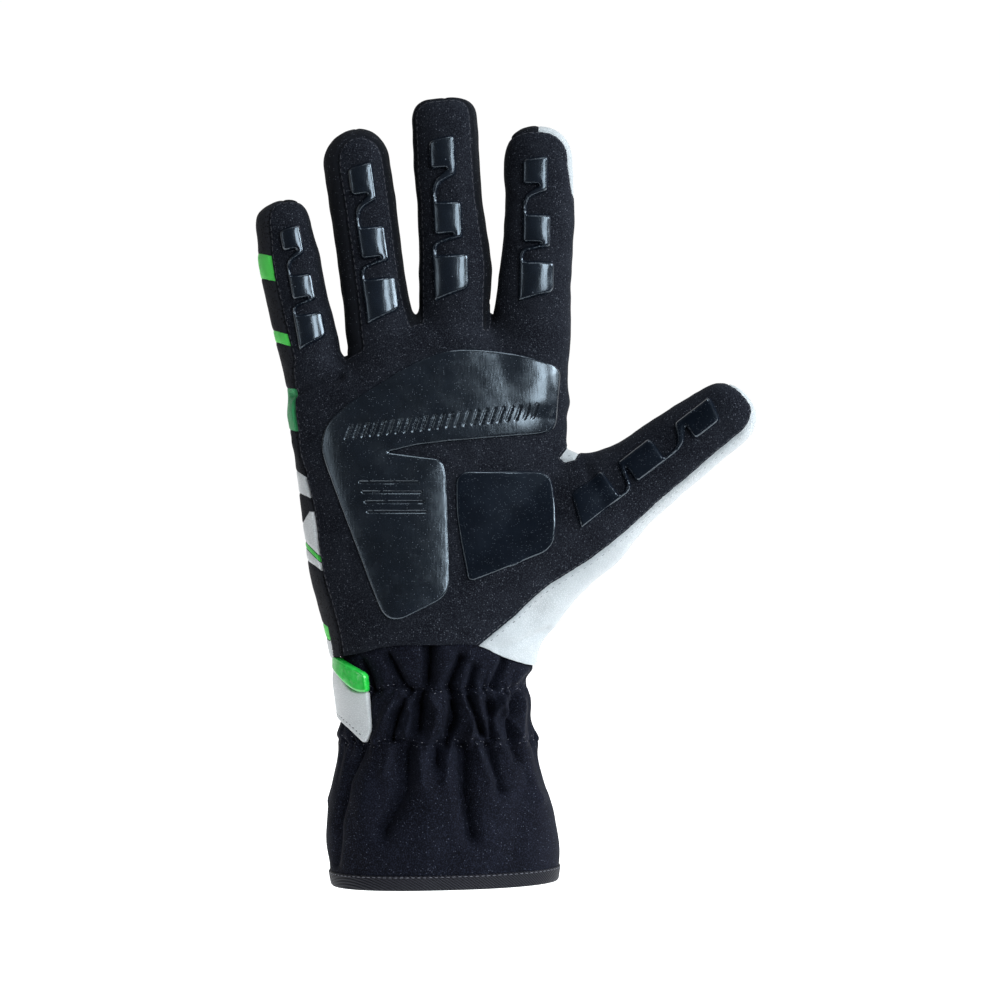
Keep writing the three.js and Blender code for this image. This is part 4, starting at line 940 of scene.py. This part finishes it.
def hand_region():
    ups = np.linspace(-0.08, 0.9, 30)
    outer = np.column_stack([curve(HAND_ROWS, 5, ups) - curve(HAND_ROWS, 1, ups) * PALM_WIDTH,
                             height_of(ups)])
    thumb = FINGERS["thumb"]
    seam = [on_finger(thumb, along * thumb["length"], aside * thumb["width"])
            for along, aside in THUMB_SEAM]
    heel = np.array([(14.5, height_of(0.02)), (14.5, height_of(-0.08))])
    return np.concatenate([outer, CROTCHES, seam[:2], smooth_through(seam[2:]), heel])


PALM_REGIONS = [hand_region()] + [finger_region(finger) for finger in FINGERS.values()]


def palm_level(points):
    """Distance to the palm panel's edge, negative inside it."""
    x, y, z = points.T
    outline = np.min([polygon_distance(x, z, region) for region in PALM_REGIONS], axis=0)
    return np.maximum(outline, y - middle_line(x, z) - PALM_WRAP)


def web_level(points, a, b):
    """The strip between two fingers, negative inside it."""
    x, y, z = points.T
    ends = [(a, -0.12), (b, -0.12), (b, 1.3), (a, 1.3)]
    corners = np.array([on_finger(FINGERS[name], at * FINGERS[name]["length"], 0)
                        for name, at in ends])
    return np.maximum(polygon_distance(x, z, corners), y - middle_line(x, z) - FOURCHETTE_WRAP)


def white_level(points):
    return curve(WHITE_EDGE, 1, points[:, 2]) - points[:, 0]


def side_level(points, top, top_fall, bottom, bottom_fall, highest, reach, strip):
    """A band let into the outer side, negative inside it."""
    x, y, z = points.T
    rear = smoothstep(-2, 3, y)
    heights, edge = np.array(OUTER_EDGE).T
    across = (1 - rear) * np.clip(x / PALM_WIDTH + 0.5, -0.15, 0.12)
    across += rear * np.interp(z, heights, edge)
    above = z - height_of(np.minimum(top - top_fall * across, highest))
    below = height_of(bottom - bottom_fall * across) - z
    band = np.max([above, below, x - reach * PALM_WIDTH], axis=0)
    return np.maximum(band, strip - palm_level(points)) if strip else band


def seam_level(points):
    return curve(WRIST_SEAM, 1, points[:, 0]) - points[:, 2]


def stroke(x, z, line, wide, height, power=2):
    """Relief along a line of points, highest on the line."""
    line = np.array(line, float)
    best = np.min([from_segment(x, z, a, b) for a, b in zip(line, line[1:])], axis=0)
    return height * np.exp(-(best / wide ** 2) ** (power / 2))


def waviness(points, length, seed):
    """A gentle uneven relief between -1 and 1."""
    x, y, z = points.T / length
    first = np.sin(2.1 * x + 1.3 * z + seed) * np.sin(1.7 * z - 0.9 * y + 2 * seed)
    second = np.sin(3.7 * z + 2.3 * x - seed) * np.sin(2.9 * x - 1.9 * y + 1.3 * seed)
    return 0.65 * first + 0.35 * second


def hand_relief(points, normals):
    """Creases and unevenness of the cloth over the hand."""
    x, _, z = points.T
    front = smoothstep(0.1, 0.5, -normals[:, 1])
    total = sum(height * waviness(points, length, seed) for height, length, seed in HAND_WAVES)
    for x0, z0, x1, z1, wide, height in CREASES:
        total += front * stroke(x, z, [(x0, z0), (x1, z1)], wide, height)
    return total


# The hand: one surface, cut into panels

def hand_surface():
    axes = [np.arange(low, high, STEP) for low, high in zip(GRID_LOW, GRID_HIGH)]
    grid = np.stack(np.meshgrid(*axes, indexing="ij"), -1)
    points, triangles = surface_net(body_field(grid), np.array(GRID_LOW), STEP)
    for _ in range(2):
        points = onto_surface(points, 2)
        inner = points[:, 2] > GRID_LOW[2] + 2 * STEP
        points = np.where(inner[:, None], (points + relaxed(points, triangles)) / 2, points)
    return onto_surface(points, 2), triangles


def build_hand():
    points, triangles = hand_surface()
    levels = [("palm", palm_level)]
    levels += [(f"web_{a}_{b}", lambda p, a=a, b=b: web_level(p, a, b)) for a, b in WEBS]
    levels += [("white", white_level)]
    for name, _, _, *row in SIDE_PANELS:
        levels.append((name, lambda p, row=row: side_level(p, *row)))
    points, triangles = cut(points, triangles, seam_level(points))
    for offset in PALM_EDGE_CUTS:
        points, triangles = cut(points, triangles, palm_level(points) - offset)
    for name, level in levels[1:]:
        points, triangles = cut(points, triangles, level(points))
    points = onto_surface(points, 1)
    middles = points[triangles].mean(1)
    triangles = triangles[seam_level(middles) < 0]
    middles = points[triangles].mean(1)
    label = np.full(len(triangles), len(levels))
    for k, (name, level) in reversed(list(enumerate(levels))):
        label[level(middles) < 0] = k
    points, triangles = kept(points, triangles)
    return points, triangles, label, [name for name, _ in levels] + ["back"]


def panel_borders(triangles, label):
    """Points on edges between two panels or at the wrist."""
    edges, key = triangle_edges(triangles, triangles.max() + 1)
    owner = np.tile(label, 3)
    order = np.argsort(key, kind="stable")
    key, owner, edges = key[order], owner[order], edges[order]
    same = key[1:] == key[:-1]
    differ = same & (owner[1:] != owner[:-1])
    alone = np.ones(len(key), bool)
    alone[1:] &= ~same
    alone[:-1] &= ~same
    return np.unique(np.concatenate([edges[1:][differ], edges[alone]]))


HAND_POINTS, HAND_TRIANGLES, HAND_LABEL, PANELS = build_hand()
HAND_NORMALS = normals_at(HAND_POINTS)
BORDER = panel_borders(HAND_TRIANGLES, HAND_LABEL)
AT_PALM = np.abs(palm_level(HAND_POINTS[BORDER])) < 0.2
PALM_SEAM = distance_to(HAND_POINTS, HAND_POINTS[BORDER[AT_PALM]])
OTHER_SEAM = distance_to(HAND_POINTS, HAND_POINTS[BORDER[~AT_PALM]])
GROOVE = -PALM_GROOVE[0] * bell(PALM_SEAM, PALM_GROOVE[1])
GROOVE += PALM_ROLL[0] * bell(PALM_SEAM - PALM_ROLL[1], PALM_ROLL[2])
GROOVE = np.minimum(GROOVE, -OTHER_GROOVE[0] * bell(OTHER_SEAM, OTHER_GROOVE[1]))
HAND_OUTER = HAND_POINTS + (hand_relief(HAND_POINTS, HAND_NORMALS) + GROOVE)[:, None] * HAND_NORMALS
HAND_INNER = HAND_POINTS - (CLOTH + 0.5) * HAND_NORMALS

PANEL_LOOKS = {
    "palm": ("palm_suede", SUEDE, "black_suede",
             ["palm_panel", "palm_little", "palm_ring", "palm_middle", "palm_index", "palm_thumb"]),
    "white": ("back_leather", LEATHER_PAINTED_DARKER, "white_leather",
              ["back_panel_thumb_side", "back_index", "back_thumb"]),
    "back": ("back_mesh", BACK_MESH, "black_fabric",
             ["back_panel", "back_little", "back_ring", "back_middle"]),
}
for a, b in WEBS:
    web = f"web_{a}_{b}"
    PANEL_LOOKS[web] = (web, STRETCH, "fourchette_fabric", [f"fourchette_{a}_{b}"])
for name, node, slot, *_ in SIDE_PANELS:
    cloth = DARK_GREEN if name == "patch_knuckle" else CLOTHS[slot]
    PANEL_LOOKS[name] = (name, cloth, slot, [node])

for k, panel in enumerate(PANELS):
    name, material, slot, nodes = PANEL_LOOKS[panel]
    outer, faces, inner = kept(HAND_OUTER, HAND_TRIANGLES[HAND_LABEL == k], HAND_INNER)
    add_piece(name, *thickened(outer, inner, faces), material, slot, nodes)


# Silicone grips

def bar(x, z, width, height, slant):
    """A slanted bar as a polygon with rounded corners."""
    corners = [(-1, -1), (1, -1), (1, 1), (-1, 1)]
    rows = [(x + sx * width / 2 + sz * height / 2 * slant, z + sz * height / 2, 0.7)
            for sx, sz in corners]
    return rounded(rows, 3)


def grip_outline(finger, grip):
    """A finger's chain of cells as one outline: down its right side and up its left."""
    tip, base, width, centre, drift, turn = grip
    length = (tip - base) * finger["length"]

    def place(share, across, radius):
        aside = (centre + share * drift) * finger["width"] + turn * across * width
        return (*on_finger(finger, tip * finger["length"] - share * length, aside), radius)

    down = []
    up = []
    for k, (start, end, half, shift) in enumerate(GRIP_CELLS):
        left = shift - half
        right = shift + half
        if k + 1 < len(GRIP_CELLS):
            next_start, _, next_half, next_shift = GRIP_CELLS[k + 1]
            gap = next_start - end
            next_left = next_shift - next_half
            down += [
                place(start, right, 1.8),
                place(end + gap * 0.2, right, 1.3),
                place(end + gap * 0.45, next_left + GRIP_NECK + 0.1, 1.6),
                place(end + gap * 0.66, next_left + GRIP_NECK, 0.8),
                place(next_start, next_left + GRIP_NECK, 0.6),
            ]
            up = [
                place(end + gap * 0.55, next_left, 1.2),
                place(end + gap * 0.3, next_left + 0.1, 1.2),
                place(end, right - GRIP_NECK * 2, 0.9),
                place(end, left, 1.8),
                *up,
            ]
        else:
            down += [place(start, right, 1.6), place(end - 0.07, right, 2.4)]
            up = [place(end, left, 1), *up]
    start, _, half, shift = GRIP_CELLS[0]
    return rounded(down + up + [place(0.03, shift - half, 1.8)])


def palm_corners(rows):
    return rounded([(x * PALM_WIDTH, height_of(up), radius) for x, up, radius in rows], 8)


# The part of the hand that faces forward
FRONT = HAND_NORMALS[HAND_TRIANGLES].mean(1)[:, 1] < 0.15


def add_grip(name, outline, node, material, recesses=(), dome=0.3, spread=2.0,
             crown=None, rim=None):
    """Silicone with a rounded edge on the cloth, rising by dome towards its middle."""
    def level(places):
        return polygon_distance(places[:, 0], places[:, 2], outline)

    def recess_level(places):
        parts = [polygon_distance(places[:, 0], places[:, 2], part) for part in recesses]
        return np.min(parts, axis=0)

    near = level(HAND_POINTS) < 2
    points, triangles = kept(HAND_POINTS, HAND_TRIANGLES[FRONT & near[HAND_TRIANGLES].any(1)])
    points, triangles = subdivided(points, triangles)
    points, triangles = trimmed(onto_surface(points, 1), triangles, level, GRIP_CUTS)
    hollow = np.full(len(points), LARGE)
    if recesses:
        for offset in RECESS_CUTS:
            points, triangles = cut(points, triangles, recess_level(points) - offset, 0.05)
        hollow = recess_level(points)
    points = onto_surface(points, 1)
    normals = normals_at(points)
    inside = np.clip(-level(points), 0, None)
    t = np.clip(inside / GRIP_EDGE, 0, 1)
    height = GRIP_FOOT + GRIP_HEIGHT * round_edge(t) + dome * (1 - np.exp(-inside / spread))
    if crown:
        height += crown(points) * t
    height -= RECESS_DEPTH * smoothstep(*RECESS_CUTS, hollow)
    cloth = hand_relief(points, normals)
    outer = points + (cloth * (1 - EVENED_OUT * t) + height)[:, None] * normals
    inner = points + (cloth - GRIP_SUNK)[:, None] * normals
    piece = add_piece(name, *thickened(outer, inner, triangles), material, "silicone", [node], 50)
    if rim:
        piece.data.materials.append(rim)
        middles = np.array([face.center for face in piece.data.polygons]) / MM
        at_rim = level(middles) > -RIM_WIDTH
        piece.data.polygons.foreach_set("material_index", at_rim.astype(int))


# Slanted ribs across the palm, and four bars below them
RIBS = [bar(-30 + 2.9 * k, 93.4 + 0.33 * k, 1.3, 5.8, 0.35) for k in range(23)]
BARS = [bar(-16 + 0.9 * k, 76 - 3.4 * k, 21, 1.3, -0.3) for k in range(4)]
add_grip("grip_palm", palm_corners(PALM_GRIP), "palm_grip", PAD_SILICONE, RIBS + BARS,
         dome=1.2, spread=6)
add_grip("grip_heel", palm_corners(HEEL_GRIP), "heel_grip", MATTE_SILICONE, rim=SILICONE)


def chain_crown(finger, grip):
    """Rise of a finger's cells towards the middle of their chain."""
    tip, base, width, centre, drift, _ = grip
    root, along, aside = finger_axes(finger)

    def crown(points):
        flat = points[:, [0, 2]] - root
        share = tip - flat @ along / finger["length"]
        middle = (centre + share / (tip - base) * drift) * finger["width"]
        off = (flat @ aside - middle) / (0.55 * width)
        return CROWN_HEIGHT * np.clip(1 - off ** 2, 0, 1)

    return crown


for name, grip in FINGER_GRIPS.items():
    finger = FINGERS[name]
    face = MATTE_SILICONE if name == "thumb" else SILICONE
    add_grip(f"grip_{name}", grip_outline(finger, grip), f"{name}_grip", face, spread=1.5,
             crown=chain_crown(finger, grip), rim=SILICONE)


# Stitches

def line_points(points, triangles, values, lift):
    """Chains of points where the values are zero, as points and lift directions."""
    signs = values > 0
    corner = signs[triangles]
    mixed = triangles[(corner.sum(1) > 0) & (corner.sum(1) < 3)]
    links = {}
    places = {}
    for a, b, c in mixed:
        ends = []
        for p, q in ((a, b), (b, c), (c, a)):
            if signs[p] != signs[q]:
                key = (min(p, q), max(p, q))
                ends.append(key)
                if key not in places:
                    t = values[key[0]] / (values[key[0]] - values[key[1]])
                    places[key] = np.concatenate([points[key[0]] * (1 - t) + points[key[1]] * t,
                                                  lift[key[0]] * (1 - t) + lift[key[1]] * t])
        links.setdefault(ends[0], []).append(ends[1])
        links.setdefault(ends[1], []).append(ends[0])
    chains = []
    done = set()
    starts = [key for key, ends in links.items() if len(ends) == 1] + list(links)
    for start in starts:
        if start in done:
            continue
        chain = [start]
        done.add(start)
        while True:
            onward = [key for key in links[chain[-1]] if key not in done]
            if not onward:
                break
            chain.append(onward[0])
            done.add(onward[0])
        if len(chain) > 6:
            chains.append(np.array([places[key] for key in chain]))
    return chains


def capsule():
    """A small closed capsule along X, of half length 1 and radius 1."""
    sides = 6
    rings = 5
    points = [(-1, 0, 0)]
    for turn in np.linspace(-math.pi / 2, math.pi / 2, rings + 2)[1:-1]:
        for k in range(sides):
            angle = 2 * math.pi * k / sides
            size = math.cos(turn) ** 0.5
            points.append((math.sin(turn), size * math.cos(angle), size * math.sin(angle)))
    points.append((1, 0, 0))
    last = len(points) - 1
    faces = []
    end = last - sides
    for k in range(sides):
        onward = (k + 1) % sides
        faces += [(0, 1 + onward, 1 + k), (last, end + k, end + onward)]
        for ring in range(rings - 1):
            a = 1 + ring * sides + k
            b = 1 + ring * sides + onward
            faces += [(a, b, b + sides), (a, b + sides, a + sides)]
    return np.array(points), np.array(faces)


def add_stitches(name, chains, material, slot, pitch=2.4, share=0.72, radius=0.2, sink=0.06,
                 keep=None):
    """Stitches at a pitch along chains of points with normals."""
    shape, faces = capsule()
    all_points = []
    all_faces = []
    for chain in chains:
        steps = np.linalg.norm(np.diff(chain[:, :3], axis=0), axis=1)
        run = np.concatenate([[0], np.cumsum(steps)])
        for centre in np.arange(pitch / 2, run[-1] - pitch / 2, pitch):
            ends = [np.array([np.interp(centre + side * pitch * share / 2, run, chain[:, j])
                              for j in range(6)]) for side in (-1, 1)]
            if keep is not None and not keep(ends[0][:3]):
                continue
            middle = (ends[0] + ends[1]) / 2
            along = ends[1][:3] - ends[0][:3]
            reach = np.linalg.norm(along)
            if reach < 0.2 * pitch * share:
                continue
            along /= reach
            up = middle[3:] - along * (middle[3:] @ along)
            up /= np.linalg.norm(up)
            aside = np.cross(up, along)
            turn = np.stack([along * reach / 2, aside * radius, up * radius * 0.8])
            all_faces.append(faces + len(all_points) * len(shape))
            all_points.append(middle[:3] - up * sink + shape @ turn)
    add_piece(name, np.concatenate(all_points), np.concatenate(all_faces), material, slot)


PALM_FACES = HAND_TRIANGLES[HAND_LABEL == 0]
palm_chains = line_points(HAND_OUTER, PALM_FACES, palm_level(HAND_POINTS) + 0.9, HAND_NORMALS)
add_stitches("stitches_palm", palm_chains, DARK_THREAD, "black_suede",
             keep=lambda p: p[1] < middle_line(p[0], p[2]) + 0.2)
white_chains = line_points(HAND_OUTER, HAND_TRIANGLES[HAND_LABEL == PANELS.index("white")],
                           palm_level(HAND_POINTS) - 1.3, HAND_NORMALS)
add_stitches("stitches_white", white_chains, HOLE_THREAD, "black_suede", pitch=2.6, share=0.5,
             radius=0.14, sink=0.08)


# The gauntlet

def cuff_base(angle, down):
    """The gauntlet without its folds, as points and outward directions."""
    c = np.cos(angle)
    half = by_side(CUFF_ROWS, 1, down, c) * CUFF_WIDTH
    thick = curve(CUFF_ROWS, 3, down) * CUFF_DEPTH / 2
    x = signed_power(c, 2 / HAND_POWER) * half
    y = signed_power(np.sin(angle), 2 / HAND_POWER) * thick
    nx = signed_power(x / half, HAND_POWER - 1) / half
    ny = signed_power(y / thick, HAND_POWER - 1) / thick
    size = np.hypot(nx, ny)
    normal = np.stack([nx / size, ny / size, np.zeros_like(x)], -1)
    z = cuff_height_of(down) + curve(CUFF_ROWS, 4, down) * x
    return np.stack([x, y, z], -1), normal


def gather_wave(angle):
    """How far an elastic's seam wavers up and down."""
    return 0.8 * np.sin(19 * angle + 2 * np.sin(5 * angle))


def cuff_relief(points, angle):
    """Puffs, folds and elastics, calmer at the hem and under the wrist panel."""
    x, y, z = points[..., 0], points[..., 1], points[..., 2]
    front = y < 0
    across = np.where(front, x, -x)
    height = np.where(front, z, z + 1.5)
    puffs = np.sin(np.pi * np.clip((height - ELASTICS[1]) / (ELASTICS[0] - ELASTICS[1]), 0, 1))
    total = PUFF_HEIGHT * puffs
    for line, wide, relief in CUFF_FOLDS:
        strength = VALLEY_STRENGTH if relief < 0 else RIDGE_STRENGTH
        total += strength * stroke(across, height, line, wide * FOLD_WIDTH, relief, 1.6)
    for level in ELASTICS:
        away = height - level - gather_wave(angle)
        total -= ELASTIC_DEPTH * np.exp(-np.abs(away / ELASTIC_WIDTH) ** 1.5)
        ripple = 1 - 2 * np.abs(np.sin(angle * 17 + 1.5 * np.sin(angle * 5 + level)))
        total -= RIPPLE_DEPTH * ripple * bell(away, RIPPLE_WIDTH)
    total *= 1 - SIDE_CALM * np.abs(np.cos(angle)) ** 8
    ripple = np.sin(angle * 23 + 1.7 * np.sin(angle * 7))
    total += 0.3 * ripple * smoothstep(-34, -14, z) * smoothstep(18, 8, z)
    total += 0.35 * waviness(points.reshape(-1, 3), 8, 2.2).reshape(x.shape)
    inward = np.where(front, -25, -18)
    lowest = np.where(front, -10, -18)
    under = smoothstep(0, -4, x - inward) * smoothstep(0, 4, z - lowest)
    return total * (0.15 + 0.85 * smoothstep(-62, -54, z)) * (1 - 0.85 * under)


def cuff_place(angle, down, grow):
    """Points of the folded gauntlet, moved outwards by grow."""
    base, normal = cuff_base(angle, down)
    return base + (grow + cuff_relief(base, angle))[..., None] * normal


def cuff_grid():
    """Turns and shares down from the wrist seam to just inside the binding."""
    turns = np.linspace(0, 2 * math.pi, CUFF_AROUND, endpoint=False)
    shares = np.linspace(0, 1, CUFF_DOWN)
    angle, share = np.meshgrid(turns, shares)
    base, _ = cuff_base(angle, np.full_like(angle, 0.02))
    top = (WRIST_SEAM_HEIGHT - curve(WRIST_SEAM, 1, base[..., 0])) / CUFF_LENGTH
    bottom = 1 - (BINDING_HEIGHT - 2) / CUFF_LENGTH
    return angle, top + share * (bottom - top), share


def ring_faces(around, rows):
    faces = []
    for k in range(rows - 1):
        a = np.arange(around) + k * around
        b = (np.arange(around) + 1) % around + k * around
        faces += [np.stack([a, b + around, b], 1), np.stack([a, a + around, b + around], 1)]
    return np.concatenate(faces)


def build_cuff():
    """The gauntlet's cloth, with a lip that goes up under the hand's panels."""
    angle, down, share = cuff_grid()
    rim = 0.9 * np.exp(-(share * 80) ** 2)
    outer = cuff_place(angle, down, -rim).reshape(-1, 3)
    inner = cuff_place(angle, down, -CLOTH - 0.3).reshape(-1, 3)
    lip = cuff_place(angle[0], down[0] - 3 / CUFF_LENGTH, -1.9)
    outer = np.concatenate([lip, outer])
    inner = np.concatenate([lip + (0, 0, 0.4), inner])
    faces = ring_faces(CUFF_AROUND, CUFF_DOWN + 1)
    points, triangles = thickened(outer, inner, faces)
    add_piece("gauntlet", points, triangles, SOFTSHELL, "cuff_fabric", ["cuff"], 60)


build_cuff()

# The hem's binding: height above the hem and distance out, round its section
BINDING_SECTION = [(5.2, 0.05), (5.15, 0.35), (4.8, 0.55), (4, 0.6), (2.6, 0.62), (1.2, 0.6),
                   (0.5, 0.5), (0.1, 0.2), (0, -0.8), (0.1, -1.9), (0.5, -2.2), (2.6, -2.3),
                   (4.8, -2.2), (5.2, -1.7)]


def build_binding():
    turns = np.linspace(0, 2 * math.pi, CUFF_AROUND, endpoint=False)
    rings = [cuff_place(turns, np.full_like(turns, 1 - rise / CUFF_LENGTH), out)
             for rise, out in BINDING_SECTION + BINDING_SECTION[:1]]
    faces = ring_faces(CUFF_AROUND, len(BINDING_SECTION))
    last = ring_faces(CUFF_AROUND, 2) + (len(BINDING_SECTION) - 1) * CUFF_AROUND
    last = np.where(last >= len(BINDING_SECTION) * CUFF_AROUND, last % CUFF_AROUND, last)
    points = np.concatenate(rings[:-1])
    add_piece("hem_binding", points, np.concatenate([faces, last]), TAPE, "binding_tape",
              ["cuff_binding"], 60)


build_binding()

turns = np.linspace(0, 2 * math.pi, 600)


def cuff_line(rise, out):
    down = np.full_like(turns, 1 - rise / CUFF_LENGTH)
    _, normal = cuff_base(turns, down)
    return np.concatenate([cuff_place(turns, down, out), normal], axis=1)


add_stitches("stitches_hem", [cuff_line(4.7, 0.6)], PALE_THREAD, "binding_tape", pitch=2,
             share=0.6, radius=0.14)
gather_lines = [cuff_line(CUFF_LENGTH - WRIST_SEAM_HEIGHT + level + side + gather_wave(turns), 0)
                for level in ELASTICS for side in (-0.9, 0.9)]
add_stitches("stitches_gathers", gather_lines, PALE_THREAD, "cuff_fabric", pitch=2.1, share=0.3,
             radius=0.15, sink=0.08, keep=lambda p: math.sin(2.1 * p[0] + p[2]) > 0.1)


# The wrist panel and its tab

def add_wrist_piece(name, corners, low, high, material, slot, node, front_only):
    """A piece that lies from low to high above the gauntlet."""
    turns = np.linspace(math.pi * 0.6, math.pi * 1.5, 260)
    downs = np.linspace(-0.06, 0.46, 110)
    base, normal = cuff_base(*np.meshgrid(turns, downs))
    both = np.concatenate([base, normal], axis=-1).reshape(-1, 6)
    count = len(turns)
    a = (np.arange(len(downs) - 1)[:, None] * count + np.arange(count - 1)).ravel()
    faces = np.concatenate([np.stack([a, a + count + 1, a + 1], 1),
                            np.stack([a, a + count, a + count + 1], 1)])
    outline = rounded([(x * CUFF_WIDTH, cuff_height_of(share), radius)
                       for x, share, radius in corners])

    def level(rows):
        edge = polygon_distance(rows[:, 0] + high * rows[:, 3], rows[:, 2], outline)
        return np.maximum(edge, rows[:, 1]) if front_only else edge

    both, faces = trimmed(both, faces, level, (0, -0.2, -0.6))
    t = np.clip(-level(both) / WRIST_EDGE, 0, 1)
    rise = low + (high - low) * (0.35 + 0.65 * round_edge(t))
    outer = both[:, :3] + rise[:, None] * both[:, 3:]
    inner = both[:, :3] + (low - WRIST_SUNK) * both[:, 3:]
    add_piece(name, *thickened(outer, inner, faces), material, slot, [node], 50)
    return outer, faces, both[:, 3:], level(both)


# The wrist panel takes the white leather painted lighter: painted light where the lamps leave it dim.
panel = add_wrist_piece("wrist_leather", WRIST_PANEL, 0.3, 1.5, LEATHER_PAINTED_LIGHTER, "white_leather",
                        "wrist_panel", False)
add_wrist_piece("wrist_rubber", WRIST_TAB, 1.5, 3.4, RUBBER, "green_rubber", "wrist_tab", True)
outer, faces, normals, level = panel
add_stitches("stitches_wrist", line_points(outer, faces, level + 1.6, normals), HOLE_THREAD,
             "white_leather", pitch=1.9, share=0.42, radius=0.2, keep=lambda p: p[0] + p[2] < -36)


# Floor, light and camera

def add_floor(side, front, back, level):
    mesh = bpy.data.meshes.new("floor")
    corners = [(x, y, level) for x, y in ((-side, front), (side, front), (side, back), (-side, back))]
    mesh.from_pydata(corners, [], [(0, 1, 2, 3)])
    pale = blank_material("floor_pale", (0.9, 0.9, 0.9), 0.9, Emission_Color=(1, 1, 1, 1),
                          Emission_Strength=0.9, Specular_IOR_Level=0)
    mesh.materials.append(pale)
    new_object("floor", mesh)


def add_light(name, place, target, width, height, power):
    data = bpy.data.lights.new(name, "AREA")
    data.shape = "RECTANGLE"
    data.size = width
    data.size_y = height
    data.energy = power
    data.color = (0.9, 0.96, 1)
    light = new_object(name, data)
    light.location = place
    way = np.array(target) - np.array(place)
    way = way / np.linalg.norm(way)
    light.rotation_euler = (math.acos(-way[2]), 0, math.atan2(-way[0], way[1]))


add_floor(1.5, -0.14, 3, -0.1035)
TARGET = (0.01, 0, 0.07)
# Name, place, target, width, height, power
add_light("key", (0.72, -1.1, 0.42), TARGET, 0.48, 0.9, 14)
add_light("side", (1.15, -0.36, 0.6), TARGET, 0.45, 0.7, 18)
add_light("fill", (-1.1, -0.7, 0.2), TARGET, 0.25, 0.8, 1.5)
add_light("top", (0.1, -0.3, 1.2), TARGET, 0.6, 0.4, 4)

# The studio is dim in front of the palm and white behind the glove
world = bpy.data.worlds.new("studio")
world.use_nodes = True
tree = world.node_tree
background = tree.nodes["Background"]
background.inputs["Color"].default_value = (1, 1, 1, 1)
coordinates = tree.nodes.new("ShaderNodeTexCoord")
split = tree.nodes.new("ShaderNodeSeparateXYZ")
bright = tree.nodes.new("ShaderNodeMapRange")
for socket, value in (("From Min", 0), ("From Max", 0.6), ("To Min", 0.075), ("To Max", 1.02)):
    bright.inputs[socket].default_value = value
tree.links.new(coordinates.outputs["Generated"], split.inputs[0])
tree.links.new(split.outputs["Y"], bright.inputs["Value"])
tree.links.new(bright.outputs["Result"], background.inputs["Strength"])
bpy.context.scene.world = world
bpy.context.scene.view_settings.view_transform = "Standard"

# The camera looks along +Y at a square of this side around the glove
FRAME_SIDE = 0.35
FRAME_MIDDLE = (0.02205, 0.07)
CAMERA_AWAY = 1.1
SENSOR = 36
lens = bpy.data.cameras.new("camera")
lens.sensor_width = SENSOR
lens.lens = SENSOR * CAMERA_AWAY / FRAME_SIDE
camera = new_object("camera", lens)
camera.location = (FRAME_MIDDLE[0], -CAMERA_AWAY, FRAME_MIDDLE[1])
camera.rotation_euler = (math.pi / 2, 0, 0)
bpy.context.scene.camera = camera
